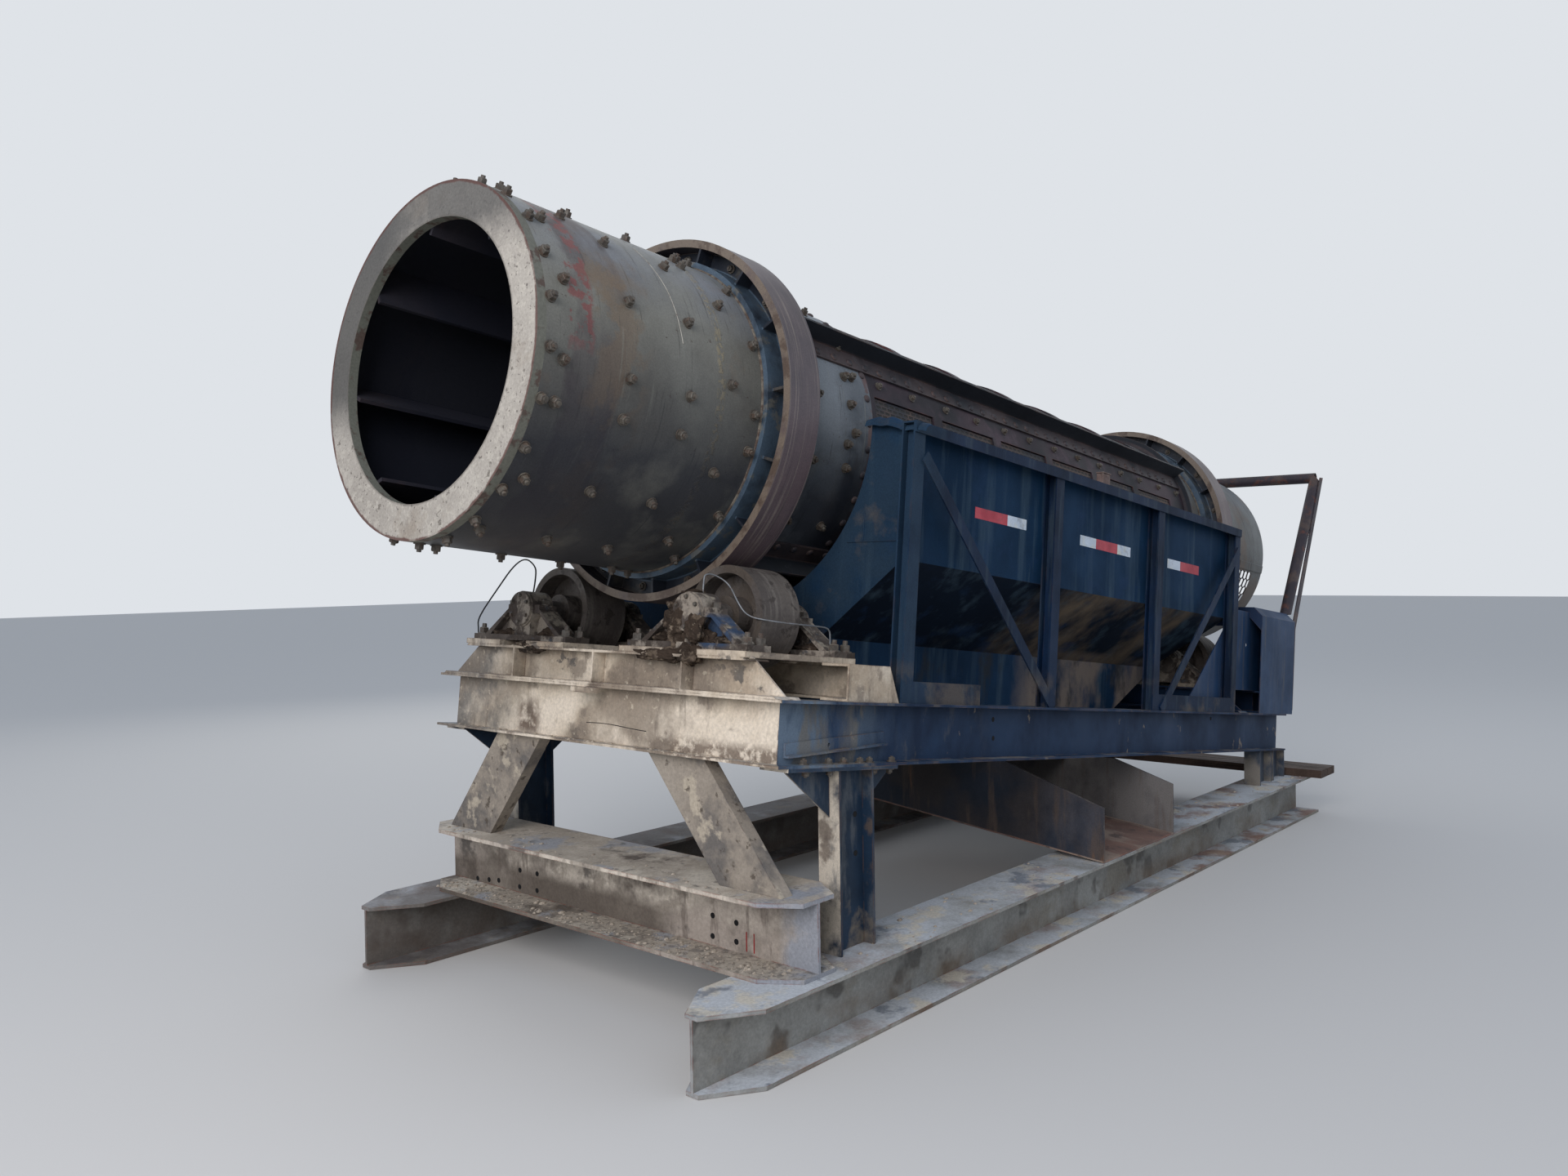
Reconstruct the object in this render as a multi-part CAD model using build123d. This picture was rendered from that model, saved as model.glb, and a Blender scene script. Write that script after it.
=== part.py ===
from build123d import *
import os
from math import cos, pi, radians, sin

# Trommel screen on a skid frame, in millimetres. X runs along the drum from the feed end to
# the discharge end, Y goes from the near side to the far side, and Z points up. The skids lie
# on the floor at Z = 0. The deck with its hopper and drum leans down towards the discharge.
# Deck pieces are drawn level, with their origin on top of the deck beams at their feed end,
# and are then tilted into place.

# Deck
deck_tilt = 6.32
deck_height = 1356.5
deck_length = 5578
deck_half_width = 1129
beam_depth = 259
beam_width = 146
beam_web = 8
beam_flange = 11

# Skids and lower cross beam
skid_height = 290
skid_width = 335
skid_web = 13
skid_flange = 16
skid_offset = 1086
skid_nose = -460
skid_rear = 5850
nose_taper = 210
cross_height = 305
cross_width = 390
cross_web = 13
cross_flange = 18
cross_x = 115
cross_half_length = 1200
cross_clip = 150
plank_start = 5600
plank_width = 148
plank_thickness = 55
plank_gap = 4
plank_half_length = 1350

# Legs and braces
leg_depth = 230
leg_width = 110
leg_web = 8
leg_flange = 12
leg_cap = 15
leg_cap_start = 60
leg_cap_end = 770
front_gusset_reach = 630
front_gusset_drop = 510
rear_gusset_reach = 720
rear_gusset_drop = 487
front_leg_x = 474
rear_leg_x = (5170, 5430)
brace_foot_y = 930
brace_head_y = 520
brace_width = 254
brace_leg = 66
brace_wall = 10
brace_front_x = 20

# Drum, measured from its axis
drum_height = 1223
drum_radius = 703
drum_wall = 12
feed_face = -922
feed_ring_depth = 40
feed_hole_radius = 560
neck_end = 1030
screen_end = 4700
discharge_end = 6250
discharge_radius = 690
screen_wall = 8
frame_wall = 10
window_count = 6
window_start = 1065
window_length = 500
window_pitch = 580
window_half_angle = 28
mesh_start = 5420
mesh_end = 6190
mesh_low_angle = -52
mesh_high_angle = -12
mesh_wall = 6
lifter_count = 8
lifter_width = 190
lifter_thickness = 16
lifter_lean = 35
stringer_angles = (34, 124, 214, 304)
stringer_base = 190
stringer_thickness = 12
fin_radius = 806
end_flange_radius = 752
end_flange_thickness = 14

# Riding rings
tyre_radius = 838
tyre_wall = 36
tyre_width = 198
front_tyre_face = 274
rear_tyre_face = 5020
hub_overhang = 22
ring_web = 20
gusset_count = 16
gusset_thickness = 12

# Rollers, shafts and bearings
roller_angle = 32
roller_radius = 216.5
roller_gap = 0.6
roller_width = 240
roller_rim = 34
roller_web = 60
shaft_radius = 50
shaft_end_gap = 5
shaft_clearance = 0.1
bearing_radius = 84
bearing_length = 120
bearing_distance = 275
bearing_cover = 14
bearing_ear = 118
bearing_leg_width = 100
bearing_leg_plate = 20
bearing_leg_web = 16
foot_length = 700
foot_width = 140
foot_height = 26
foot_toe = 62
pad_thickness = 25
pad_length = 270
pad_strip = 205
pad_overhang = 20
pad_start = 0
pad_end = 697

# Roller bases
stub_height = 153
stub_width = 146
stub_web = 8
stub_flange = 11
stub_length = 700
stub_slope = 75
stub_end_plate = 20
stub_half_span = 1100
stub_side_start = 440
stub_taper = 910
stub_rear_start = 575
stiffener_v = (-577, -20, 547)
stiffener_thickness = 10

# Bar welded over the near deck beam, and the lug on the front beam
patch_start = 105
patch_length = 640
patch_height = 56
patch_leg = 22
patch_wall = 8
patch_drop = 196
patch_lean = 4.1
patch_hole = 9
lug_length = 160
lug_reach = 48
lug_thickness = 24

# Hopper
hopper_front = 850
hopper_rear = 4592
hopper_rear_foot = 4412
hopper_top = 1217
hopper_break = 625
trough_half_width = 600
trough_top = 270
trough_front_bottom = -30
trough_mid_bottom = -300
plate = 8
drum_hole_radius = 835
post_width = 82
post_depth = 69
post_setback = 20
hopper_half_width = deck_half_width - post_depth - post_setback
post_web = 6
post_flange = 8
post_edges = (879, 2155, 3410, 4626)
rail_wall = 8
rail_height = 50
tie_width = 60
tie_wall = 8
tie_foot = 30
tie_head = 1080
short_sill = 550
sill_height = 95
sill_width = 60
sill_wall = 8

# Discharge chute below the hopper
chute_front_x = 2390
chute_rear_x = 3260
chute_lip_y = -1250
chute_fall = 0.11
chute_lip_height = 300
chute_lip_rise = 280
chute_wall_rise = 210

# Rear guard and pipe hoop
guard_start = 5030
guard_end = 5700
guard_height = 735
guard_depth = 330
guard_plate = 6
guard_bevel = 60
shield_start = 3930
shield_knee = 531
shield_top = 700
shield_hole = (4987, 468)
shield_hole_radius = 14
hoop_x = 6500
hoop_z = 2500
hoop_inset = 84
hoop_half_width = deck_half_width - hoop_inset
hoop_foot_x = 5660
hoop_bar_foot_x = 5755
hoop_bar_foot_z = 745
hoop_knee = (5835, 0, 1340)
hoop_bar = 60
hoop_bar_wall = 8
hoop_pipe_radius = 40
hoop_wall = 5

# Overall length, from the lower lip of the feed ring to the pipe of the hoop
tilt = radians(deck_tilt)
front_x = feed_face * cos(tilt) + (drum_height - drum_radius) * sin(tilt)
rear_x = hoop_x + hoop_pipe_radius
shift_x = -(front_x + rear_x) / 2

os.makedirs("parts", exist_ok=True)


def on_floor(shape):
    """Place a piece of the level base."""
    return Pos(shift_x, 0, 0) * shape


def on_deck(shape):
    """Tilt a piece of the deck and place it at the deck height."""
    return Pos(shift_x, 0, deck_height) * Rot(0, deck_tilt, 0) * shape


def save(name, *solids):
    """Write one named piece, or several like ones that don't touch."""
    shape = solids[0] if len(solids) == 1 else Compound(children=list(solids))
    export_step(shape, f"parts/{name}.step")


def block(x0, x1, y0, y1, z0, z1):
    """A box between two corners."""
    middle = Pos((x0 + x1) / 2, (y0 + y1) / 2, (z0 + z1) / 2)
    return middle * Box(abs(x1 - x0), abs(y1 - y0), abs(z1 - z0))


def mirrored(shape):
    """The same piece on the other side."""
    return mirror(shape, about=Plane.XZ)


def i_section(depth, width, web, flange):
    """Outline of a rolled beam, its depth along Y."""
    pocket = Rectangle((width - web) / 2, depth - 2 * flange)
    offset = (width + web) / 4
    return Rectangle(width, depth) - Pos(offset, 0) * pocket - Pos(-offset, 0) * pocket


def channel_section(depth, leg, wall):
    """Outline of a channel, its depth along Y and its legs towards +X from the origin."""
    pocket = Pos((leg + wall) / 2, 0) * Rectangle(leg - wall, depth - 2 * wall)
    return Pos(leg / 2, 0) * Rectangle(leg, depth) - pocket


def beam(section, start, end, up=(0, 0, 1)):
    """Draw a section out in a straight line, its own Y axis towards up."""
    start = Vector(start)
    end = Vector(end)
    along = (end - start).normalized()
    side = Vector(up).cross(along).normalized()
    plane = Plane(origin=start, x_dir=side, z_dir=along)
    return extrude(plane * section, amount=(end - start).length)


def plate_yz(points, x, thickness):
    """A flat plate that faces along X, from x to x plus its thickness."""
    face = make_face(Polyline(*points, close=True))
    return extrude(Plane((x, 0, 0), x_dir=(0, 1, 0), z_dir=(1, 0, 0)) * face, amount=thickness)


def plate_xz(points, y, thickness):
    """A flat plate that faces along Y, from y to y plus its thickness."""
    face = make_face(Polyline(*[(x, z) for x, z in points], close=True))
    return extrude(Plane((0, y + thickness, 0), x_dir=(1, 0, 0), z_dir=(0, -1, 0)) * face, amount=thickness)


def tube_x(outer, inner, x0, x1, height=0):
    """A round tube along X about an axis at the given height."""
    ring = Circle(outer) - Circle(inner)
    plane = Plane((x0, 0, height), x_dir=(0, 1, 0), z_dir=(1, 0, 0))
    return extrude(plane * ring, amount=x1 - x0)


def rod_x(radius, x0, x1, y=0, height=0):
    """A round bar along X."""
    plane = Plane((x0, y, height), x_dir=(0, 1, 0), z_dir=(1, 0, 0))
    return extrude(plane * Circle(radius), amount=x1 - x0)


def about_drum(shape, angle):
    """Turn a piece about the drum axis, from the near side upwards."""
    return Pos(0, 0, drum_height) * Rot(-angle, 0, 0) * Pos(0, 0, -drum_height) * shape


# Base
big = 4 * deck_length
under_deck = on_deck(block(-big, big, -big, big, -big, -beam_depth))
skid_top = skid_height
cross_top = skid_top + cross_height
web_line = deck_half_width - beam_width / 2


def make_skid():
    """A wide flanged runner with its front flanges cut to a point at the web."""
    section = i_section(skid_height, skid_width, skid_web, skid_flange)
    nose = (skid_nose, -skid_offset, skid_height / 2)
    runner = beam(section, nose, (skid_rear, -skid_offset, skid_height / 2))
    half = skid_width / 2
    tip = 30
    for side in (-1, 1):
        corner = make_face(Polyline((skid_nose - 1, -skid_offset + side * tip),
                                    (skid_nose - 1, -skid_offset + side * (half + 1)),
                                    (skid_nose + nose_taper, -skid_offset + side * (half + 1)), close=True))
        runner -= extrude(corner, amount=skid_height)
    return runner


def make_lower_cross_beam():
    """The wide beam across both skids, with clipped flange corners."""
    section = i_section(cross_height, cross_width, cross_web, cross_flange)
    level = skid_top + cross_height / 2
    piece = beam(section, (cross_x, -cross_half_length, level), (cross_x, cross_half_length, level))
    reach = cross_width / 2 + 1
    for sx in (-1, 1):
        for sy in (-1, 1):
            inner_x = cross_x + sx * (reach - cross_clip * 0.7)
            corner = make_face(Polyline((cross_x + sx * reach, sy * (cross_half_length - cross_clip)),
                                        (cross_x + sx * reach, sy * (cross_half_length + 1)),
                                        (inner_x, sy * (cross_half_length + 1)),
                                        close=True))
            piece -= extrude(Pos(0, 0, skid_top) * corner, amount=cross_height)
    return piece


def make_leg(x):
    """A short upright between a skid and the deck beam above it."""
    section = i_section(leg_depth, leg_width, leg_web, leg_flange)
    foot = (x, -web_line, skid_top)
    head = (x, -web_line, deck_height)
    return beam(section, foot, head, up=(1, 0, 0))


def make_gusset(x_from, x_to, height, drop):
    """A triangular plate below the deck beam, beside a leg."""
    points = [(x_from, height), (x_to, height), (x_to, height - drop)]
    return plate_xz(points, -web_line - leg_web / 2, leg_web)


front_gusset = make_gusset(front_leg_x - leg_depth / 2 - front_gusset_reach, front_leg_x - leg_depth / 2,
                           deck_height, front_gusset_drop)
rear_gusset = make_gusset(front_leg_x + leg_depth / 2 + rear_gusset_reach, front_leg_x + leg_depth / 2,
                          deck_height, rear_gusset_drop)
leg_cap_plate = block(leg_cap_start, leg_cap_end, -deck_half_width, -deck_half_width + beam_width,
                      -beam_depth - leg_cap, -beam_depth)
under_cap = on_deck(block(-big, big, -big, big, -big, -beam_depth - leg_cap))
front_leg = on_floor(make_leg(front_leg_x) + front_gusset + rear_gusset) & under_cap
front_leg += on_deck(leg_cap_plate)
rear_legs = [on_floor(make_leg(x)) & under_deck for x in rear_leg_x]


def make_brace():
    """A channel that props the deck's front beam from the lower cross beam, web to the front."""
    section = channel_section(brace_width, brace_leg, brace_wall)
    foot = Vector(brace_front_x, -brace_foot_y, cross_top)
    head = Vector(brace_front_x, -brace_head_y, deck_height - beam_depth)
    along = (head - foot).normalized()
    start = foot - along * brace_width
    end = head + along * brace_width
    plane = Plane(origin=start, x_dir=(1, 0, 0), z_dir=along)
    bar = extrude(plane * section, amount=(end - start).length)
    room = block(-big, big, -big, big, cross_top, deck_height)
    return on_floor(bar & room) & under_deck


skid = on_floor(make_skid())
brace = make_brace()
save("skid_near", skid)
save("skid_far", mirrored(skid))
save("lower_cross_beam", on_floor(make_lower_cross_beam()))
save("front_legs", front_leg, mirrored(front_leg))
save("rear_legs", *rear_legs, *[mirrored(leg) for leg in rear_legs])
save("front_braces", brace, mirrored(brace))
planks = []
for side in (0, 1):
    x = plank_start + side * (plank_width + plank_gap)
    plank_top = skid_top + plank_thickness
    planks.append(block(x, x + plank_width, -plank_half_length, plank_half_length, skid_top, plank_top))
save("rear_planks", *[on_floor(plank) for plank in planks])

# Deck frame
section = i_section(beam_depth, beam_width, beam_web, beam_flange)
mid = -beam_depth / 2
side_beam = beam(section, (0, -web_line, mid), (deck_length, -web_line, mid))
front_beam = beam(section, (beam_width / 2, -deck_half_width, mid), (beam_width / 2, deck_half_width, mid))
mitre = make_face(Polyline((0, -deck_half_width), (beam_width, -deck_half_width),
                           (beam_width, -deck_half_width + beam_width), close=True))
mitre = extrude(Pos(0, 0, -beam_depth) * mitre, amount=beam_depth)
wedge = make_face(Polyline((0, -deck_half_width), (beam_width, -deck_half_width + beam_width),
                           (0, -deck_half_width + beam_width), close=True))
wedge = extrude(Pos(0, 0, -beam_depth) * wedge, amount=beam_depth)
side_beam = side_beam - wedge
front_beam = front_beam - mitre - mirrored(mitre)
save("deck_beam_near", on_deck(side_beam))
save("deck_beam_far", on_deck(mirrored(side_beam)))
lug = make_face(Polyline((1, -lug_length / 2), (1, lug_length / 2), (-lug_reach, lug_length / 2),
                         (-lug_reach, -lug_length / 2), close=True))
lug = extrude(Pos(0, 0, -beam_flange - lug_thickness) * lug, amount=lug_thickness)
lug = fillet(lug.edges().filter_by(Axis.Z).group_by(Axis.X)[0], radius=lug_reach * 0.8)
save("deck_front_beam", on_deck(front_beam + lug))


def make_patch():
    """An angle bar welded at a slight lean over the web of the near deck beam."""
    foot = Rectangle(patch_leg + patch_wall, patch_wall)
    section = Rectangle(patch_wall, patch_height)
    section += Pos(-patch_leg / 2, (patch_wall - patch_height) / 2) * foot
    bar = extrude(Plane((0, 0, 0), x_dir=(0, 1, 0), z_dir=(1, 0, 0)) * section, amount=patch_length)
    hole = Rot(90, 0, 0) * Cylinder(patch_hole, 4 * patch_wall)
    bar -= Pos(patch_length * 0.42, 0, 0) * hole
    v = -web_line - beam_web / 2 - patch_wall / 2
    return Pos(patch_start, v, -patch_drop) * Rot(0, -patch_lean, 0) * bar


save("beam_patch", on_deck(make_patch()))
inner = deck_half_width - beam_width
rear_beam_u = deck_length - beam_width / 2
rear_beam = beam(section, (rear_beam_u, -inner, mid), (rear_beam_u, inner, mid))
save("deck_rear_beam", on_deck(rear_beam))


def make_roller_base(face):
    """Two beams across the deck and a channel along each side, which carry the bearings of two rollers."""
    start = face - front_tyre_face
    section = i_section(stub_height, stub_width, stub_web, stub_flange)
    level = stub_height / 2
    front = beam(section, (start + stub_width / 2, -stub_half_span, level),
                 (start + stub_width / 2, stub_half_span, level))
    slope = plate_yz([(stub_taper, stub_height + 1), (stub_half_span + 1, -1), (deck_half_width, -1),
                      (deck_half_width, stub_height + 1)], start - 1, stub_width + 2)
    front = front - slope - mirrored(slope)
    rib = block(start, start + (stub_width - stub_web) / 2, -stiffener_thickness / 2, stiffener_thickness / 2,
                stub_flange, stub_height - stub_flange)
    for v in stiffener_v:
        front += Pos(0, v, 0) * rib
    inner_half = stub_half_span - stub_width
    back_u = start + stub_rear_start + stub_width / 2
    back = beam(section, (back_u, -inner_half, level), (back_u, inner_half, level))
    end = start + stub_length
    section = channel_section(stub_height, stub_width, stub_flange)
    side = beam(section, (start + stub_side_start, -stub_half_span, level),
                (end + stub_slope, -stub_half_span, level))
    side -= plate_xz([(end, stub_height + 1), (end + stub_slope, -1), (end + 2 * stub_slope, -1),
                      (end + 2 * stub_slope, stub_height + 1)], -deck_half_width, deck_half_width)
    side += plate_xz([(end, stub_height), (end + stub_slope, 0), (end + stub_slope + stub_end_plate, 0),
                      (end + stub_end_plate, stub_height)], -stub_half_span, stub_width)
    return [front, back, side, mirrored(side)]


bearing_reach = tyre_radius + roller_radius + roller_gap
axle_v = bearing_reach * sin(radians(roller_angle))
axle_w = drum_height - bearing_reach * cos(radians(roller_angle))


def make_pads(face, v):
    """Two long packing plates, one under the outer and one under the inner feet of a roller's bearings."""
    start = face - front_tyre_face
    pads = []
    for side in (-1, 1):
        outer = v + side * (foot_length / 2 + pad_overhang)
        pad = block(start + pad_start, start + pad_end, outer, outer - side * pad_length,
                    stub_height, stub_height + pad_thickness)
        notch = block(start + stub_width, start + stub_rear_start, outer - side * pad_strip,
                      outer - side * 2 * pad_length, stub_height - 1, stub_height + pad_thickness + 1)
        pads.append(pad - notch)
    return pads


def make_bearing(u, v, outward):
    """A bearing block: a round housing with a split cap and an end cover, on sloping legs and a long foot."""
    base = stub_height + pad_thickness
    top = base + foot_height
    half = foot_length / 2
    face = u + outward * bearing_length / 2
    piece = block(u - foot_width / 2, u + foot_width / 2, v - half, v + half, base, top)
    piece += rod_x(bearing_radius, u - bearing_length / 2, u + bearing_length / 2, v, axle_w)
    piece += rod_x(bearing_radius * 0.94, min(face, face + outward * bearing_cover),
                   max(face, face + outward * bearing_cover), v, axle_w)
    piece += block(u - bearing_leg_width / 2, u + bearing_leg_width / 2, v - bearing_radius * 0.7,
                   v + bearing_radius * 0.7, top, axle_w)
    piece += block(u - bearing_leg_width / 2, u + bearing_leg_width / 2, v - bearing_ear, v + bearing_ear,
                   axle_w - bearing_leg_plate, axle_w + bearing_leg_plate)
    for side in (-1, 1):
        toe = v + side * (half - foot_toe)
        ear = v + side * bearing_ear
        piece += plate_yz([(toe, top), (v, top), (v, axle_w), (ear, axle_w)], u - bearing_leg_web / 2,
                          bearing_leg_web)
        slope = [(toe, top), (toe - side * 2 * bearing_leg_plate, top),
                 (ear - side * bearing_leg_plate, axle_w), (ear, axle_w)]
        piece += plate_yz(slope, u - bearing_leg_width / 2, bearing_leg_width)
    inner = u - outward * bearing_length
    return piece - rod_x(shaft_radius + shaft_clearance, min(inner, face), max(inner, face), v, axle_w)


def make_roller(face, v):
    """A flanged steel wheel keyed on its shaft."""
    middle = face + tyre_width / 2
    u0 = middle - roller_width / 2
    u1 = middle + roller_width / 2
    wheel = rod_x(roller_radius, u0, u1, v, axle_w)
    dish = rod_x(roller_radius - roller_rim, u0, middle - roller_web / 2, v, axle_w)
    dish += rod_x(roller_radius - roller_rim, middle + roller_web / 2, u1, v, axle_w)
    hub = rod_x(shaft_radius * 1.7, u0, u1, v, axle_w)
    reach = bearing_distance + bearing_length / 2 - shaft_end_gap
    shaft = rod_x(shaft_radius, middle - reach, middle + reach, v, axle_w)
    return wheel - dish + hub + shaft


for end, face in (("front", front_tyre_face), ("rear", rear_tyre_face)):
    middle = face + tyre_width / 2
    save(f"{end}_roller_base", *[on_deck(piece) for piece in make_roller_base(face)])
    pads = make_pads(face, -axle_v) + make_pads(face, axle_v)
    save(f"{end}_bearing_pads", *[on_deck(pad) for pad in pads])
    for side, name in ((-1, "near"), (1, "far")):
        bearings = [make_bearing(middle + way * bearing_distance, side * axle_v, way) for way in (-1, 1)]
        save(f"{end}_bearings_{name}", *[on_deck(piece) for piece in bearings])
        save(f"{end}_roller_{name}", on_deck(make_roller(face, side * axle_v)))

# Drum
feed_ring_back = feed_face + feed_ring_depth
save("feed_ring", on_deck(tube_x(drum_radius, feed_hole_radius, feed_face, feed_ring_back, drum_height)))
drum_bore = drum_radius - drum_wall
save("feed_shell", on_deck(tube_x(drum_radius, drum_bore, feed_ring_back, neck_end, drum_height)))


def drum_sector(low, high, u0, u1):
    """A wedge of the drum between two angles, counted from the near side upwards."""
    return about_drum(sector((high - low) / 2, u0, u1), (high + low) / 2)


def sector(half, u0, u1):
    """A wedge of the drum, from its axis out to the near side."""
    far = 2 * drum_radius
    rise = far * sin(radians(half))
    run = far * cos(radians(half))
    points = [(0, drum_height), (-run, drum_height - rise), (-run, drum_height + rise)]
    return plate_yz(points, u0, u1 - u0)


screen_frame = tube_x(drum_radius, drum_radius - frame_wall, neck_end, screen_end, drum_height)
for angle in stringer_angles:
    for k in range(window_count):
        u = window_start + k * window_pitch
        middle_angle = angle + 45
        screen_frame -= drum_sector(middle_angle - window_half_angle, middle_angle + window_half_angle,
                                    u, u + window_length)
screen_outer = drum_radius - frame_wall
save("screen_frame", on_deck(screen_frame))
screen_inner = screen_outer - screen_wall
save("screen_shell", on_deck(tube_x(screen_outer, screen_inner, neck_end, screen_end, drum_height)))
discharge_start = screen_end + end_flange_thickness
mesh_outer = discharge_radius - drum_wall
discharge_shell = tube_x(discharge_radius, mesh_outer, discharge_start, discharge_end, drum_height)
discharge_shell -= drum_sector(mesh_low_angle, mesh_high_angle, mesh_start, mesh_end)
save("discharge_shell", on_deck(discharge_shell))
sheet_start = mesh_start - drum_wall
sheet_end = mesh_end + drum_wall
mesh_sheet = tube_x(mesh_outer, mesh_outer - mesh_wall, sheet_start, sheet_end, drum_height)
mesh_sheet &= drum_sector(mesh_low_angle - 1, mesh_high_angle + 1, sheet_start, sheet_end)
save("discharge_mesh", on_deck(mesh_sheet))
save("screen_end_flange", on_deck(tube_x(end_flange_radius, discharge_radius - drum_wall, screen_end,
                                         screen_end + end_flange_thickness, drum_height)))


def make_tyre(face, seat):
    """A riding ring on a hub ring, joined by a web and radial gussets."""
    rim = tube_x(tyre_radius, tyre_radius - tyre_wall, face, face + tyre_width, drum_height)
    hub = tube_x(tyre_radius - tyre_wall - 68, seat, face - hub_overhang, face + tyre_width + hub_overhang,
                 drum_height)
    middle = face + tyre_width / 2
    web_start = middle - ring_web / 2
    web = tube_x(tyre_radius - tyre_wall, seat + 20, web_start, web_start + ring_web, drum_height)
    ring = rim + hub + web
    for k in range(gusset_count):
        rib = block(face + 6, face + tyre_width - 6, -(tyre_radius - tyre_wall + 4), -(seat + 20),
                    drum_height - gusset_thickness / 2, drum_height + gusset_thickness / 2)
        ring += about_drum(rib, 5 + k * 360 / gusset_count)
    return ring


save("front_tyre", on_deck(make_tyre(front_tyre_face, drum_radius)))
save("rear_tyre", on_deck(make_tyre(rear_tyre_face, discharge_radius)))


def make_stringer(angle):
    """A T shaped bar along the screen: a base strip on the shell and a standing fin."""
    u0 = front_tyre_face + tyre_width + hub_overhang
    half = degrees_of(stringer_base / 2)
    strip = tube_x(drum_radius + stringer_thickness, drum_radius, u0, screen_end, drum_height)
    wedge = sector(half, u0, screen_end)
    fin = block(u0, screen_end, -fin_radius, -(drum_radius + stringer_thickness / 2),
                drum_height - stringer_thickness / 2, drum_height + stringer_thickness / 2)
    return about_drum((strip & wedge) + fin, angle)


def degrees_of(arc):
    """The angle that an arc on the drum's shell takes."""
    return arc / drum_radius * 180 / pi


save("stringers", *[on_deck(make_stringer(angle)) for angle in stringer_angles])


def make_lifter(angle):
    """A leaning flat bar along the inside of the shell."""
    reach = drum_radius - drum_wall - 0.3
    bar = block(feed_ring_back, neck_end - 50, -lifter_width, 0,
                -lifter_thickness / 2, lifter_thickness / 2)
    root = -reach + lifter_width * cos(radians(lifter_lean))
    bar = Pos(0, root, drum_height) * Rot(lifter_lean, 0, 0) * bar
    inside = rod_x(reach, feed_face, neck_end, 0, drum_height)
    return about_drum(bar & inside, angle)


save("lifters", *[on_deck(make_lifter(k * 360 / lifter_count + 10)) for k in range(lifter_count)])

# Hopper
chute_front_u = (chute_front_x + plate - trough_mid_bottom * sin(tilt)) / cos(tilt)
chute_rear_u = (chute_rear_x - trough_mid_bottom * sin(tilt)) / cos(tilt)
trough_line = [(hopper_front - plate, trough_front_bottom), (chute_front_u, trough_mid_bottom),
               (chute_rear_u, trough_mid_bottom), (hopper_rear_foot + plate, trough_top - 20),
               (hopper_rear + plate, hopper_break)]
deep = -3 * deck_height
under_trough = plate_xz(trough_line + [(hopper_rear + plate, deep), (hopper_front - plate, deep)],
                        -2 * deck_half_width, 4 * deck_half_width)


def make_hopper_side():
    """The near side of the hopper: an upright panel, a sloping plate and the trough's skirt."""
    lowest = trough_mid_bottom - 100
    outline = [(-hopper_half_width, hopper_top), (-hopper_half_width, hopper_break),
               (-trough_half_width, trough_top), (-trough_half_width, lowest),
               (-trough_half_width + plate, lowest), (-trough_half_width + plate, trough_top + plate / 2),
               (-hopper_half_width + plate, hopper_break + plate / 2),
               (-hopper_half_width + plate, hopper_top)]
    side = plate_yz(outline, hopper_front + plate, hopper_rear - hopper_front - plate)
    return side - under_trough


def make_hopper_end(u):
    """An end plate of the hopper, cut out round the drum."""
    half = [(hopper_half_width, hopper_top + 20),
            (hopper_half_width, hopper_break),
            (trough_half_width, trough_top)]
    outline = [(-v, w) for v, w in half]
    outline += [(-trough_half_width, trough_front_bottom), (trough_half_width, trough_front_bottom)]
    outline += half[::-1]
    hole = rod_x(drum_hole_radius, u - plate, u + 2 * plate, 0, drum_height)
    return plate_yz(outline, u, plate) - hole - under_trough


def make_rear_end():
    """The rear end of the hopper: upright beside the drum, and leaning forward below it."""
    upper = make_hopper_end(hopper_rear) & block(-big, big, -big, big, hopper_break, big)
    foot, head = trough_line[3], trough_line[4]
    lower = plate_xz([foot, head, (head[0] - plate, head[1]), (foot[0] - 1.3 * plate, foot[1])],
                     -hopper_half_width, 2 * hopper_half_width)
    inside = plate_yz([(hopper_half_width, hopper_break), (trough_half_width, trough_top),
                       (trough_half_width, 0), (-trough_half_width, 0), (-trough_half_width, trough_top),
                       (-hopper_half_width, hopper_break)], hopper_rear_foot - 200, 500)
    hole = rod_x(drum_hole_radius, hopper_rear_foot - 200, hopper_rear + 200, 0, drum_height)
    return upper + ((lower & inside) - hole - make_hopper_side() - mirrored(make_hopper_side()))


def make_trough_floor(start, end):
    """A sloping floor plate of the trough, from one end of the hopper to the chute."""
    outline = [start, end, (end[0], end[1] + plate), (start[0], start[1] + plate)]
    floor = plate_xz(outline, plate - trough_half_width, 2 * (trough_half_width - plate))
    return floor & block(hopper_front + plate, hopper_rear_foot - plate, -big, big, -big, big)


hopper_side = make_hopper_side()
save("hopper_side_near", on_deck(hopper_side))
save("hopper_side_far", on_deck(mirrored(hopper_side)))
save("hopper_front_plate", on_deck(make_hopper_end(hopper_front)))
save("hopper_rear_plate", on_deck(make_rear_end()))
front_floor = make_trough_floor(trough_line[0], trough_line[1])
rear_floor = make_trough_floor(trough_line[3], trough_line[2])
save("trough_floors", on_deck(front_floor), on_deck(rear_floor))


outer_v = -hopper_half_width - post_depth


def make_post(edge):
    """One upright of the hopper's outer frame."""
    section = i_section(post_depth, post_width, post_web, post_flange)
    v = -hopper_half_width - post_depth / 2
    return beam(section, (edge - post_width / 2, v, 0), (edge - post_width / 2, v, hopper_top), up=(0, 1, 0))


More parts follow.
